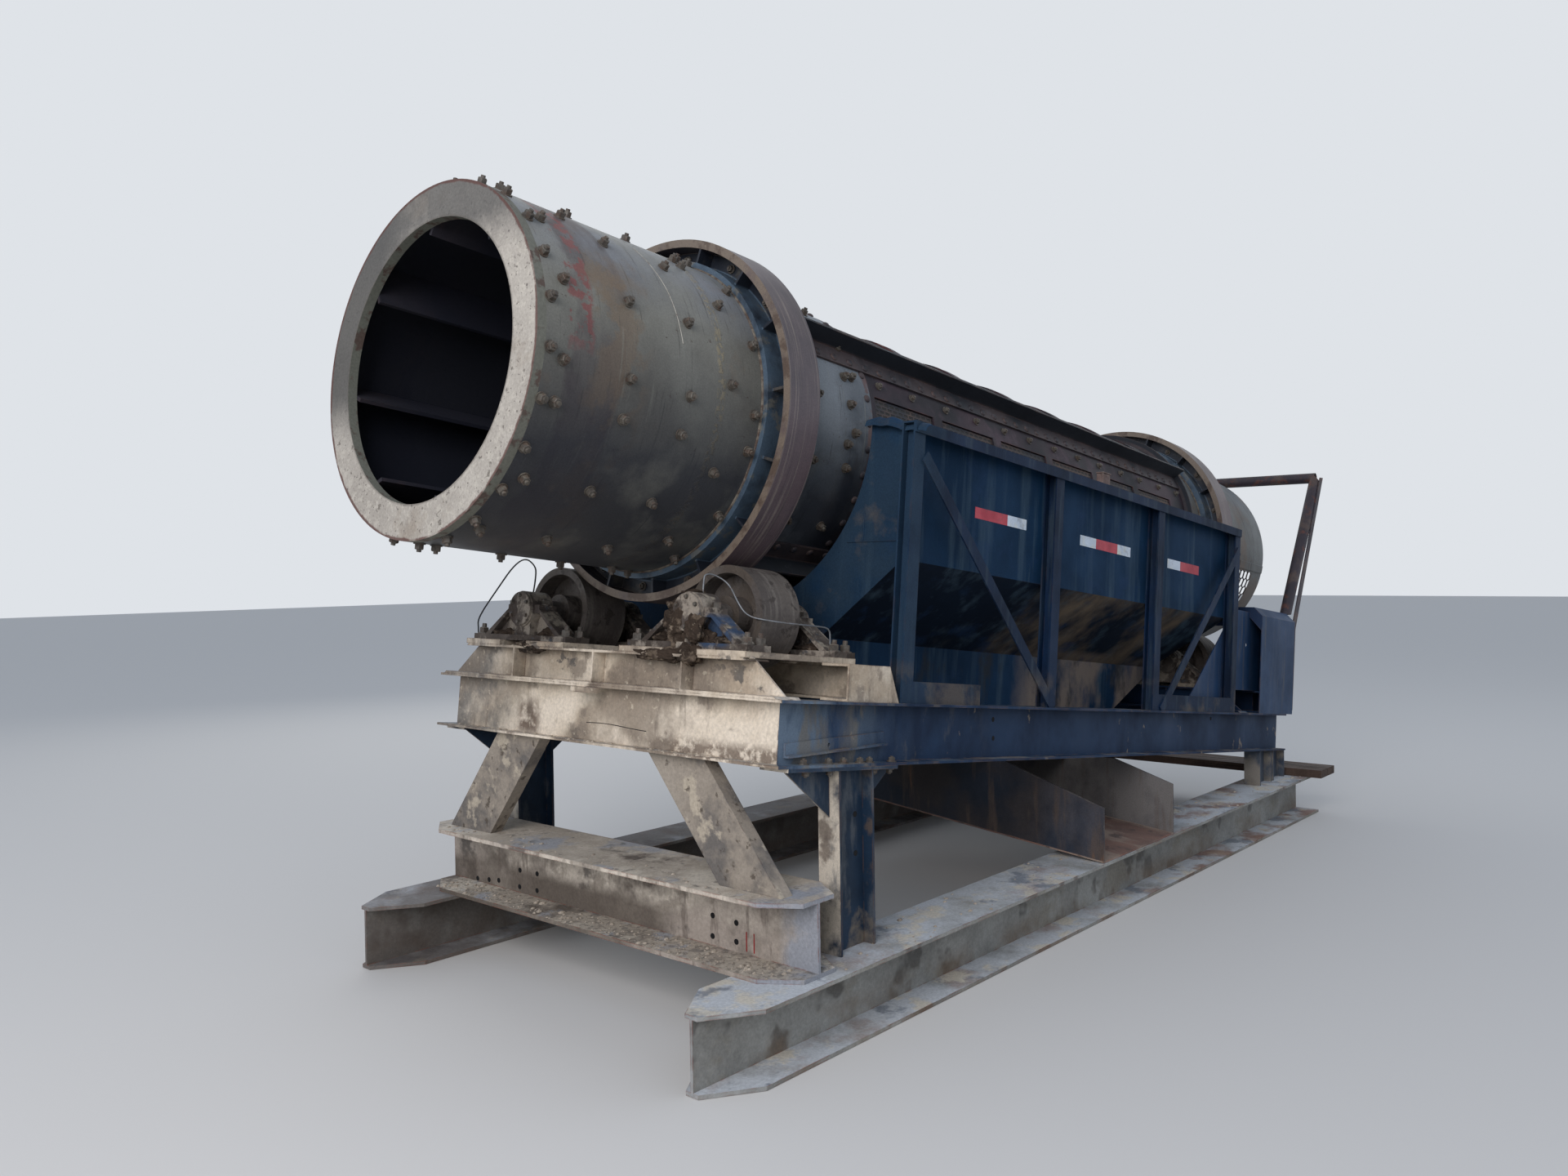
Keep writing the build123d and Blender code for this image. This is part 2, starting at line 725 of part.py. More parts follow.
def make_rail():
    """The angle bar along the top of the posts."""
    outside = outer_v - rail_wall
    top = hopper_top + rail_wall
    outline = [(outside, top), (-hopper_half_width, top), (-hopper_half_width, hopper_top),
               (outer_v, hopper_top), (outer_v, top - rail_height), (outside, top - rail_height)]
    start = post_edges[0] - post_width
    return plate_yz(outline, start, post_edges[-1] - start)


posts = [make_post(edge) for edge in post_edges]


def make_tie(foot_u, head_u, head_w):
    """A flat diagonal on the outside of the posts."""
    span = Vector(head_u - foot_u, 0, head_w)
    plane = Plane(origin=(foot_u, outer_v - tie_wall / 2, 0), x_dir=(0, 1, 0), z_dir=span.normalized())
    bar = extrude(plane * Rectangle(tie_wall, tie_width), amount=span.length)
    return bar & block(-big, big, -big, big, 0, big)


def make_sill(u0, u1):
    """A short channel on the deck beam between two posts."""
    section = channel_section(sill_height, sill_width, sill_wall)
    plane = Plane(origin=(u0, outer_v, sill_height / 2), x_dir=(0, 1, 0), z_dir=(1, 0, 0))
    return extrude(plane * section, amount=u1 - u0)


frame_pieces = [make_rail(), make_sill(post_edges[0], post_edges[0] + short_sill),
                make_sill(post_edges[2], post_edges[3] - post_width)]
hopper_frame = posts[0]
for piece in posts[1:] + frame_pieces:
    hopper_frame += piece
ties = [make_tie(post_edges[1] - tie_foot, post_edges[0], tie_head),
        make_tie(post_edges[2] + tie_foot, post_edges[3] - tie_foot, tie_head)]
save("hopper_frame_near", on_deck(hopper_frame))
save("hopper_frame_far", on_deck(mirrored(hopper_frame)))
save("hopper_ties", *[on_deck(tie) for tie in ties], *[on_deck(mirrored(tie)) for tie in ties])

# Discharge chute
chute_back_floor = chute_lip_height + chute_fall * (trough_half_width - chute_lip_y)
chute_lip_top = chute_lip_height + chute_lip_rise


def make_chute_wall(x):
    """A side wall of the chute: it hangs from the trough and slopes down to the lip."""
    outline = [(chute_lip_y, chute_lip_height), (chute_lip_y, chute_lip_top),
               (-trough_half_width, chute_lip_top + chute_wall_rise), (-trough_half_width, deck_height),
               (trough_half_width, deck_height), (trough_half_width, chute_back_floor)]
    return on_floor(plate_yz(outline, x, plate)) & on_deck(under_trough)


for end, wall_x in (("front", chute_front_x), ("rear", chute_rear_x)):
    save(f"chute_{end}_wall", make_chute_wall(wall_x))
chute_back = block(chute_front_x + plate, chute_rear_x, trough_half_width - plate, trough_half_width,
                   chute_back_floor, deck_height)
save("chute_back_wall", on_floor(chute_back) & on_deck(under_trough))
floor_points = [(chute_lip_y, chute_lip_height), (trough_half_width, chute_back_floor),
                (trough_half_width, chute_back_floor - plate), (chute_lip_y, chute_lip_height - plate)]
save("chute_floor", on_floor(plate_yz(floor_points, chute_front_x, chute_rear_x - chute_front_x + plate)))


def make_guard():
    """A folded cover on the end of the deck beam: an outer wall, a top, a back and a brow in front."""
    v = -deck_half_width
    under = guard_height - guard_plate
    outline = [(v, 0), (v, guard_height - guard_bevel), (v + guard_bevel, guard_height),
               (v + guard_depth, guard_height), (v + guard_depth, under), (v + guard_bevel + 2, under),
               (v + guard_plate, guard_height - guard_bevel - 3), (v + guard_plate, 0)]
    cover = plate_yz(outline, guard_start, guard_end - guard_start)
    fold = [(v + guard_plate, guard_height - guard_bevel), (v + guard_bevel, under), (v + guard_depth, under)]
    back = plate_yz([(v + guard_plate, 0), *fold, (v + guard_depth, 0)], guard_end - guard_plate, guard_plate)
    brow_edge = [(v + guard_depth, guard_height - 135), (v + 209, guard_height - 135),
                 (v + guard_plate + 90, guard_height - 63), (v + guard_plate, guard_height - 160)]
    brow = plate_yz(fold + brow_edge, guard_start, guard_plate)
    return cover + back + brow


def make_shield():
    """The plate inside the last post: it closes the corner of the bay and the inner side of the guard."""
    base_start = rear_tyre_face - front_tyre_face
    base_end = base_start + stub_length + stub_slope + stub_end_plate
    edge = post_edges[-1]
    outline = [(shield_start, 0), (edge - post_width, shield_knee),
               (edge, shield_knee + 69), (edge, shield_top),
               (guard_end - guard_plate, shield_top), (guard_end - guard_plate, 0), (base_end + 5, 0),
               (base_end + 5, stub_height), (base_start - 5, stub_height), (base_start - 5, 0)]
    plate_piece = plate_xz(outline, -hopper_half_width, guard_plate)
    hole = Pos(shield_hole[0], -hopper_half_width, shield_hole[1]) * Rot(90, 0, 0) * Cylinder(
        shield_hole_radius, 4 * guard_plate)
    return plate_piece - hole


guard = on_deck(make_guard() + make_shield())
save("rear_guard_near", guard)
save("rear_guard_far", mirrored(guard))

# Pipe hoop at the discharge end
hoop_pipe = Circle(hoop_pipe_radius) - Circle(hoop_pipe_radius - hoop_wall)
cross_pipe = beam(hoop_pipe, (hoop_x, -hoop_half_width, hoop_z), (hoop_x, hoop_half_width, hoop_z))
guard_top_z = deck_height + guard_height * cos(tilt) - hoop_foot_x * sin(tilt)
hoop_foot = (hoop_foot_x, -hoop_half_width, guard_top_z - 200)
leg_pipe = beam(hoop_pipe, hoop_foot, (hoop_x, -hoop_half_width, hoop_z), up=(1, 0, 0))
over_guard = on_deck(block(-big, big, -big, big, guard_height, big))
clear_of_pipe = beam(Circle(hoop_pipe_radius), (hoop_x, -hoop_half_width - 200, hoop_z),
                     (hoop_x, hoop_half_width, hoop_z))
leg_pipe = (on_floor(leg_pipe) & over_guard) - on_floor(clear_of_pipe)
save("hoop_cross_pipe", on_floor(cross_pipe))
save("hoop_legs", leg_pipe, mirrored(leg_pipe))


def make_hoop_bar():
    """A flat bar from the hoop's corner down behind the guard to the end of the deck beam."""
    y = -hoop_half_width - hoop_pipe_radius
    top = Vector(hoop_x, 0, hoop_z)
    knee = Vector(*hoop_knee)
    foot = Vector(hoop_bar_foot_x, 0, hoop_bar_foot_z)
    half = hoop_bar / 2
    outline = [(foot.X - half, foot.Z), (foot.X + half, foot.Z), (knee.X + half, knee.Z),
               (top.X + half, top.Z), (top.X - half, top.Z), (knee.X - half, knee.Z + half)]
    return plate_xz(outline, y - hoop_bar_wall, hoop_bar_wall)


hoop_bar_near = on_floor(make_hoop_bar())
save("hoop_bars", hoop_bar_near, mirrored(hoop_bar_near))
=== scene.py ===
# %% [markdown]
# # A trommel screen on its skid frame
# The real machine is a long steel drum that turns slowly on four rollers. Earth goes in at the feed end,
# the fine part falls through the screen plates into a hopper, and stones leave at the far end. The packed
# model already holds every piece with a real size. This lesson adds what a paint shop, a wrench and the
# weather add: finishes, bolts, rivets, welds, grease lines, tape and mud.

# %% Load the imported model
import math
import random
import bmesh
import bpy
from mathutils import Matrix, Vector, noise


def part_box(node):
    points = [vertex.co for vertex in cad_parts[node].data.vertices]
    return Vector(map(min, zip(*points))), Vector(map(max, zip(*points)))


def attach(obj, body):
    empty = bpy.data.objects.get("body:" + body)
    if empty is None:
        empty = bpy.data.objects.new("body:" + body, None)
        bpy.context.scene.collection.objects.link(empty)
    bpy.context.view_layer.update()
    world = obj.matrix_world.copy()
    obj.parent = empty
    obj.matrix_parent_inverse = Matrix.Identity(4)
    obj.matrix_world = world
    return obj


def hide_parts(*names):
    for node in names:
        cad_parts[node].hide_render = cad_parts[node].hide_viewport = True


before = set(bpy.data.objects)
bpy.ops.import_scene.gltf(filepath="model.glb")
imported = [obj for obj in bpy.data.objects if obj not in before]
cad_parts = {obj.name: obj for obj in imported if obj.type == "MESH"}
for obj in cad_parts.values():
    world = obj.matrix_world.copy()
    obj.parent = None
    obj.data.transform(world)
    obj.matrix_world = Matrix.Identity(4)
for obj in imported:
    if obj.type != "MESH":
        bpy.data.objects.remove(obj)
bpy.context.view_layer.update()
random.seed(7)

# %% [markdown]
# ## Two frames of reference
# The base stands level, but the deck, the hopper and the drum lean down towards the discharge. It is
# easiest to think of the leaning pieces in the deck's own directions: u along the deck, v across it and w
# up from it. One matrix then carries them into the world. The model is centred on its own box, so the
# shift along X is read from a piece whose place on the real frame is known: the skid's nose.

# %% Deck and drum matrices
TILT = math.radians(6.32)
DECK_TOP = 1.3565
SKID_NOSE = -0.460
DRUM_AXIS = 1.223
FEED_END = -0.92
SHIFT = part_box("skid_near")[0][0] - SKID_NOSE
DECK = Matrix.Translation((SHIFT, 0, DECK_TOP)) @ Matrix.Rotation(TILT, 4, "Y")
DRUM = DECK @ Matrix.Translation((0, 0, DRUM_AXIS))


def on_deck(u, v, w):
    """A place on the leaning deck, its own Z square to the deck."""
    return DECK @ Matrix.Translation((u, v, w))


def on_shell(u, degrees, radius):
    """A place on the drum, its own Z pointing outwards, its angle counted from the near side upwards."""
    turn = Matrix.Rotation(math.radians(90 - degrees), 4, "X")
    return DRUM @ Matrix.Translation((u, 0, 0)) @ turn @ Matrix.Translation((0, 0, radius))


print("shift", round(SHIFT, 4), "drum axis starts at", [round(v, 3) for v in DRUM @ Vector((FEED_END, 0, 0))])

# %% [markdown]
# ## Colours and nodes
# A colour picked from a paint card is sRGB, and the shader wants linear light, so one function turns a hex
# value into what a socket takes. One more function adds a node with its settings and links. Everything
# else in the materials is built from these two.

# %% Colour and node helpers


def srgb(code):
    """Turns a hex colour into the linear colour that a shader socket takes."""
    parts = [int(code[i:i + 2], 16) / 255 for i in (0, 2, 4)]
    return tuple(c / 12.92 if c <= 0.04045 else ((c + 0.055) / 1.055) ** 2.4 for c in parts) + (1.0,)


def add(tree, kind, inputs=None, **settings):
    """Adds one node, with its settings, its input values and its links."""
    node = tree.nodes.new("ShaderNode" + kind)
    for key, value in settings.items():
        setattr(node, key, value)
    for key, value in (inputs or {}).items():
        if isinstance(value, bpy.types.NodeSocket):
            tree.links.new(value, node.inputs[key])
        else:
            node.inputs[key].default_value = value
    return node


print("mud", [round(c, 3) for c in srgb("a8937a")])

# %% [markdown]
# ## Patches of dirt
# Dirt, rust and wear lie in patches, and noise draws patches well. A patch has a real size in millimetres.
# The noise wants a number of patches to the metre, so a thousand is divided by the size. The place comes
# from Object coordinates in metres, turned to the deck's or the drum's own directions, so that a streak
# follows a leaning piece and turns with the drum.

# %% Places and patches


def coordinates(tree, about):
    """Object coordinates in metres, turned to the deck's or the drum's own directions where a piece leans."""
    place = add(tree, "TexCoord").outputs["Object"]
    if about is None:
        return place
    return add(tree, "Mapping", {"Vector": place, "Location": tuple(about.translation),
                                 "Rotation": (0, TILT, 0)}, vector_type="TEXTURE").outputs[0]


def blotches(tree, place, patch, stretch=(1, 1, 1)):
    """Noise with patches of so many millimetres, drawn out along one direction if stretch says so."""
    drawn = add(tree, "Mapping", {"Vector": place,
                                  "Scale": tuple(1000 / patch * s for s in stretch)}).outputs[0]
    return add(tree, "TexNoise", {"Vector": drawn, "Scale": 1.0, "Detail": 5.0,
                                  "Roughness": 0.62}).outputs["Fac"]


print("a 625 mm patch is", 1000 / 625, "to the metre")

# %% [markdown]
# ## How far along, and how far round
# Mud lies near the feed end, grime lies under the drum and rust lies at a rim. To say so, a layer needs to
# know where a point is: how far along the deck, how high, or, on the drum, how far from the axis and at
# what angle. Splitting the coordinates answers the first, and an arctangent and a length answer the rest.

# %% One coordinate of a place


def along(tree, place, axis):
    """One coordinate of a place: x, y, z, or r and a, the distance from the drum's axis and the angle."""
    apart = add(tree, "SeparateXYZ", {0: place}).outputs
    if axis in "xyz":
        return apart["xyz".index(axis)]
    if axis == "r":
        flat = add(tree, "CombineXYZ", {1: apart[1], 2: apart[2]}).outputs[0]
        return add(tree, "VectorMath", {0: flat}, operation="LENGTH").outputs["Value"]
    near = add(tree, "Math", {0: apart[1], 1: -1.0}, operation="MULTIPLY").outputs[0]
    angle = add(tree, "Math", {0: apart[2], 1: near}, operation="ARCTAN2").outputs[0]
    return add(tree, "Math", {0: angle, 1: 180 / math.pi}, operation="MULTIPLY").outputs[0]


print("angle counted from the near side upwards, in degrees")

# %% [markdown]
# ## Which way a surface faces
# Dust settles on what faces up, and paint wears off at edges. The normal tells the first. For the second,
# the Bevel node gives the normal that a rounded edge would have, and where it differs from the true one
# there is an edge. An edge could also be painted by hand, but a node finds all of them.

# %% Faces and edges
DOWNHILL = (math.cos(TILT), 0, -math.sin(TILT))
WAYS = {"up": ((0, 0, 1), 0.3, 0.75), "down": ((0, 0, -1), 0.3, 0.75), "front": ((-1, 0, 0), 0.3, 0.75),
        "near": ((0, -1, 0), 0.3, 0.75), "ends": (DOWNHILL, 0.3, 0.75), "round": (DOWNHILL, 0.75, 0.5),
        "edge": (None, 0.985, 0.9)}
WORN_EDGE = 0.008


def facing(tree, faces):
    """How much a surface faces one way, or is an edge, from nothing to one."""
    way, low, high = WAYS[faces]
    if faces == "edge":
        way = add(tree, "Bevel", {"Radius": WORN_EDGE}, samples=3).outputs[0]
    normal = add(tree, "NewGeometry").outputs["Normal"]
    same = add(tree, "VectorMath", {0: normal, 1: way}, operation="DOT_PRODUCT").outputs["Value"]
    if faces in ("ends", "round"):
        same = add(tree, "Math", {0: same}, operation="ABSOLUTE").outputs[0]
    return add(tree, "MapRange", {0: same, 1: low, 2: high}, clamp=True).outputs[0]


print("ways", sorted(WAYS))

# %% [markdown]
# ## Finishes in layers
# Nearly every surface here is steel that stood outside: paint in two shades, then dried mud on what faces
# up, rust along the edges, and streaks that water drew. So a finish is a base and a list of layers. A
# layer says its colour, the size of its patches in millimetres, how much of the noise it covers, how
# strong it is at most, which way it must face, over which spans it lies, and how thick it is in
# millimetres.

# %% One layer


def layer(colour, patch, cut=(0.5, 0.6), top=1.0, faces=None, spans=(), stretch=(1, 1, 1), thick=0.0):
    """A layer of dirt, rust or wear. A span is an axis, a start, an end, their softness and their wander."""
    return {"colour": colour, "patch": patch, "cut": cut, "top": top, "faces": faces, "spans": spans,
            "stretch": stretch, "thick": thick}


def where(tree, place, item):
    """The strength of a layer at each point."""
    pattern = blotches(tree, place, item["patch"], item["stretch"])
    low, high = item["cut"]
    amount = add(tree, "MapRange", {0: pattern, 1: low, 2: high, 4: item["top"]}, clamp=True).outputs[0]
    limits = [facing(tree, item["faces"])] if item["faces"] else []
    for axis, start, end, soft, wander in item["spans"]:
        spot = add(tree, "Math", {0: pattern, 1: wander, 2: along(tree, place, axis)},
                   operation="MULTIPLY_ADD").outputs[0]
        middle = wander / 2
        for low, high in ((start - soft, start + soft), (end + soft, end - soft)):
            limits.append(add(tree, "MapRange", {0: spot, 1: low + middle, 2: high + middle},
                              clamp=True).outputs[0])
    for limit in limits:
        amount = add(tree, "Math", {0: amount, 1: limit}, operation="MULTIPLY").outputs[0]
    return amount


print("a plain layer", layer("4c3a2e", 25))

# %% [markdown]
# ## From layers to a material
# The base paint has two shades in broad clouds. Over it goes a fine grain. Real paint and silt have grains
# under a millimetre, too fine to show from where the camera stands, so it is drawn several millimetres
# wide. Each layer then covers what is under it, and adds its thickness to the height that the Bump node
# reads.

# %% A finish


def finish(name, paint, shade, *layers, about=None, clouds=556, rough=0.62, metal=0.0, grain=0.35, pores=6.67,
           shine=0.3):
    """Paint in two shades with layers over it. Clouds, grain and pores are in millimetres."""
    material = bpy.data.materials.new(name)
    material.use_nodes = True
    tree = material.node_tree
    tree.nodes.clear()
    place = coordinates(tree, about)
    cloud = blotches(tree, place, clouds)
    shaded = add(tree, "MapRange", {0: cloud, 1: 0.40, 2: 0.60}, clamp=True).outputs[0]
    colour = add(tree, "Mix", {0: shaded, 6: srgb(paint), 7: srgb(shade)}, data_type="RGBA").outputs[2]
    pore = add(tree, "TexNoise", {"Vector": place, "Scale": 1000 / pores, "Detail": 3.0,
                                  "Roughness": 0.65}).outputs["Fac"]
    height = add(tree, "Math", {0: pore, 1: grain}, operation="MULTIPLY").outputs[0]
    for item in layers:
        amount = where(tree, place, item)
        colour = add(tree, "Mix", {0: amount, 6: colour, 7: srgb(item["colour"])},
                     data_type="RGBA").outputs[2]
        if item["thick"]:
            height = add(tree, "Math", {0: amount, 1: item["thick"], 2: height},
                         operation="MULTIPLY_ADD").outputs[0]
    value = add(tree, "MapRange", {0: pore, 1: 0.3, 2: 0.7, 3: 0.84, 4: 1.14}, clamp=True).outputs[0]
    colour = add(tree, "HueSaturation", {"Value": value, "Color": colour}).outputs[0]
    dull = add(tree, "MapRange", {0: cloud, 1: 0.35, 2: 0.65, 3: rough - 0.07, 4: rough + 0.09},
               clamp=True).outputs[0]
    relief = add(tree, "Bump", {"Height": height, "Strength": 1.0, "Distance": 0.001}).outputs[0]
    shader = add(tree, "BsdfPrincipled", {"Base Color": colour, "Roughness": dull, "Metallic": metal,
                                          "Specular IOR Level": 0.5 if metal else shine, "Normal": relief})
    add(tree, "OutputMaterial", {0: shader.outputs[0]})
    return material


def dress(material, *nodes):
    """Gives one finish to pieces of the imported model."""
    for name in nodes:
        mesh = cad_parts[name].data
        mesh.materials.clear()
        mesh.materials.append(material)
    print(material.name, "on", len(nodes), "nodes")


# %% [markdown]
# ## The feed shell's paint
# The shell is mild steel plate, rolled round and sprayed olive grey. The paint has chalked, and where it
# faces the sky it is painted pale and bluish as sky light. There is red primer and brown rust near the feed
# end and a band of pitted weld, with painted shade below and on the inside. The patterns follow the drum's
# own axis, so that scratches go round it, as they do on a thing that turns.

# %% The feed shell's paint
ROUND = (14, 0.7, 0.7)
# Alkyd paint, sprayed and chalked: a wide soft highlight, flat, with pale tops that are painted sky light
shell_paint = finish(
    "chalked_olive_paint", "716f65", "5b5850",
    # Chalky paint on what faces the sky, painted pale and bluish as sky light
    layer("80848a", 625, (0.35, 0.60), 0.75, "up"),
    # A purple brown band of rust stain behind the feed ring
    layer("4a413f", 455, (0.34, 0.5), 0.85, None, (("x", -0.77, -0.52, 0.012, 0.35),), (1, 0.5, 0.5)),
    # Tan flakes where the band breaks up
    layer("6c5d4b", 222, (0.5, 0.56), 0.7, None, (("x", -0.64, -0.38, 0.05, 0.5),)),
    # Red primer left near the edge of the band
    layer("74413d", 111, (0.48, 0.52), 0.85, None, (("x", -0.775, -0.66, 0.006, 0.12), ("a", 2, 62, 4, 20))),
    # A narrow weld with a tan, pitted face
    layer("85795f", 22.2, (0.48, 0.56), 0.7, None, (("x", -0.012, 0.03, 0.006, 0.03),), thick=1.6),
    # The neck turns dark and bluish towards the screen, and ends in a red brown line
    layer("767c80", 500, (0.3, 0.5), 0.8, None, (("x", 0.48, 1.2, 0.02, 0.0),)),
    layer("2b323a", 556, (0.4, 0.56), 0.85, None, (("x", 0.86, 1.2, 0.06, 0.3), ("a", -80, 20, 20, 20))),
    layer("5a3d38", 111, (0.42, 0.52), 0.8, None, (("x", 1.0, 1.2, 0.006, 0.06),)),
    # Scratches round the drum, pale and dark
    layer("7f7e72", 312, (0.63, 0.67), 0.35, "round", (), ROUND),
    layer("3d3a34", 238, (0.60, 0.66), 0.6, "round", (), ROUND),
    # Rust pits
    layer("473a31", 23.8, (0.66, 0.70), 0.8, None, (), thick=-0.4),
    layer("6e5a44", 385, (0.58, 0.68), 0.35),
    # Painted shade on the underside, dark and cool, with a little grime
    layer("22242b", 714, (0.15, 0.45), 0.88, None, (("a", -170, -8, 22, 60),)),
    # Painted shade on the unlit inside: near black
    layer("181a22", 333, (0.0, 0.1), 0.97, None, (("r", 0.0, 0.694, 0.002, 0.0),)),
    about=DRUM, clouds=667, rough=0.5)
dress(shell_paint, "feed_shell")

# %% [markdown]
# ## The feed ring's bare steel
# The feed ring is a thick ring, flame cut from plate. Earth and stones have scoured its face, so it is the
# palest steel on the drum, with painted shade that darkens its top and far side. Its outer side is painted
# with the shell, and one finish can hold both, because a layer can be kept to the faces or to the rim.

# %% The feed ring's bare steel
# Hot rolled plate scoured by stones: pale and matt, with pits that break up the light
ring_steel = finish(
    "bare_feed_ring", "aca497", "9c9488",
    # Flakes of paler scale and dark stains on the worn face
    layer("b7afa0", 38.5, (0.52, 0.58), 0.5, "ends"),
    layer("655e54", 41.7, (0.63, 0.66), 0.8, "ends", (), thick=-0.5),
    layer("857868", 250, (0.54, 0.66), 0.6, "ends"),
    layer("58514a", 16.7, (0.62, 0.66), 0.8, "ends", (), thick=-0.4),
    # Painted shade on its top and far side, which are darker
    layer("4d4b47", 625, (0.22, 0.44), 0.92, None,
          (("y", 0.22, 0.9, 0.16, 0.4), ("z", -0.20, 0.9, 0.12, 0.3))),
    layer("55534f", 556, (0.26, 0.48), 0.85, None, (("z", 0.46, 0.9, 0.10, 0.4),)),
    # Rust at the rim and grime at the mouth
    layer("563a33", 111, (0.3, 0.45), 0.9, None, (("r", 0.693, 0.9, 0.003, 0.03),)),
    layer("5a544c", 111, (0.3, 0.5), 0.7, None, (("r", 0.4, 0.566, 0.004, 0.02),)),
    # Its outer side is painted with the shell
    layer("66675c", 250, (0.0, 0.1), 0.9, "round"),
    layer("4d3a33", 83.3, (0.52, 0.58), 0.8, "round"),
    about=DRUM, clouds=417, rough=0.72, grain=0.9, pores=11.1)
dress(ring_steel, "feed_ring")

# %% [markdown]
# ## The riding rings
# A riding ring carries the drum on its rollers. The tread is turned on a lathe and then rolled, so fine
# rings run round it. Its sides rust, its web is painted dark and its hub ring slate blue. The distance
# from the axis tells these apart, so no seam has to be drawn on the mesh.

# %% The riding rings
# Turned steel rolled smooth: partly metal, with a sheen that is drawn out round the drum
tyre_steel = finish(
    "polished_tyre_steel", "57494b", "463e42",
    # The tread is rolled bright in narrow rings
    layer("7b7067", 455, (0.54, 0.64), 0.7, "round", (), (30, 0.5, 0.5)),
    layer("382f33", 455, (0.58, 0.66), 0.7, "round", (), (24, 0.5, 0.5)),
    # The sides of the rim are rusty tan
    layer("786a5b", 167, (0.25, 0.45), 0.9, "ends", (("r", 0.798, 0.9, 0.004, 0.0),)),
    layer("4c3c33", 111, (0.52, 0.6), 0.7, "ends", (("r", 0.798, 0.9, 0.004, 0.0),)),
    # The web and the gussets inside are dark paint with dust
    layer("1b212a", 333, (0.0, 0.1), 0.96, None, (("r", 0.5, 0.800, 0.003, 0.0),)),
    layer("5a5349", 143, (0.54, 0.66), 0.6, None, (("r", 0.5, 0.800, 0.003, 0.0),)),
    # The hub ring is slate blue
    layer("50616f", 200, (0.3, 0.5), 0.85, None, (("r", 0.5, 0.739, 0.003, 0.0),)),
    layer("6d6a60", 83.3, (0.56, 0.62), 0.7, None, (("r", 0.5, 0.739, 0.003, 0.0),)),
    about=DRUM, clouds=667, rough=0.42, metal=0.25)
dress(tyre_steel, "front_tyre", "rear_tyre")

# %% [markdown]
# ## Lifters
# Lifters are plates inside the feed end that carry the earth up and let it drop. Damp earth packs on them
# and makes them nearly black, and only their worn edges are brown. Deeper in, they are painted black as
# shade.

# %% Lifters
# Worn plate under packed damp earth: nearly black and matt, brown at the edges
lifter_steel = finish("packed_lifter_steel", "2a272d", "1b1b22",
                      layer("4a3f3c", 250, (0.5, 0.62), 0.6, "edge"),
                      layer("35292b", 143, (0.5, 0.64), 0.6),
                      # Deeper in, painted shade: nearly black
                      layer("1a1c26", 333, (0.0, 0.1), 0.9, None, (("x", -0.70, 3.0, 0.10, 0.1),)),
                      about=DRUM, rough=0.7)
dress(lifter_steel, "lifters")

# %% [markdown]
# ## Stringers
# Four T bars run along the screen and tie its ends together. They are brushed black, and their base strips
# are mauve with rust and dust.

# %% Stringers
# Black enamel, brushed on and dusty: dull, with bare brown edges
stringer_paint = finish(
    "dusty_black_paint", "23272d", "191c22",
    # Mauve rust and dust on the base strips, bare metal on the edges
    layer("4a3f3e", 333, (0.36, 0.56), 0.8, None, (("r", 0.5, 0.724, 0.003, 0.0),)),
    layer("5f5f62", 111, (0.58, 0.66), 0.5, "up"),
    layer("6a5348", 143, (0.45, 0.6), 0.8, "edge"),
    about=DRUM, rough=0.55)
dress(stringer_paint, "stringers", "screen_end_flange")

# %% [markdown]
# ## The cage of the screen
# The screen plates are held in a riveted cage. It was primed red, and wear and earth have turned most of
# it brown and black.

# %% The cage of the screen
# Red oxide primer, worn thin: matt, and red only where it is thick
primer = finish(
    "worn_red_primer", "32222a", "211b23",
    layer("4b3b42", 200, (0.54, 0.62), 0.6),
    layer("17191e", 333, (0.48, 0.58), 0.8),
    layer("68626a", 71.4, (0.6, 0.66), 0.6, "up"),
    layer("5e352b", 125, (0.45, 0.58), 0.8, "edge"),
    about=DRUM, rough=0.6)
dress(primer, "screen_frame")

# %% [markdown]
# ## The discharge shell
# The last part of the drum wears the same paint, with lighter painted shade below. Its inside is unlit, so
# everything within the sheet's radius is painted dark as shade.

# %% The discharge shell
# The feed shell's paint again, chalked, with tan rust on it, painted sky light on top and painted shade
# below and inside
discharge_paint = finish(
    "chalked_discharge_paint", "6c6e6b", "5a5852",
    layer("6a5443", 333, (0.5, 0.62), 0.6),
    # Chalky paint on what faces up, painted pale and bluish as sky light
    layer("7f858a", 500, (0.4, 0.62), 0.6, "up"),
    layer("37363a", 333, (0.58, 0.66), 0.7, "round", (), ROUND),
    # Painted shade on the underside
    layer("3b3632", 667, (0.3, 0.5), 0.7, None, (("a", -170, -30, 20, 50),)),
    # Painted shade on the unlit inside: near black
    layer("100f10", 333, (0.0, 0.1), 0.95, None, (("r", 0.0, 0.681, 0.002, 0.0),)),
    about=DRUM, rough=0.55)
dress(discharge_paint, "discharge_shell")

# %% [markdown]
# ## The hopper
# The hopper is folded sheet in navy enamel, painted nearly black as shade where no light falls, with runs of
# tan dust. The slopes under the break carry more of it, because earth spills there. Runs are noise drawn out
# ten times along the height.

# %% The hopper
RUNS = (5, 5, 0.5)
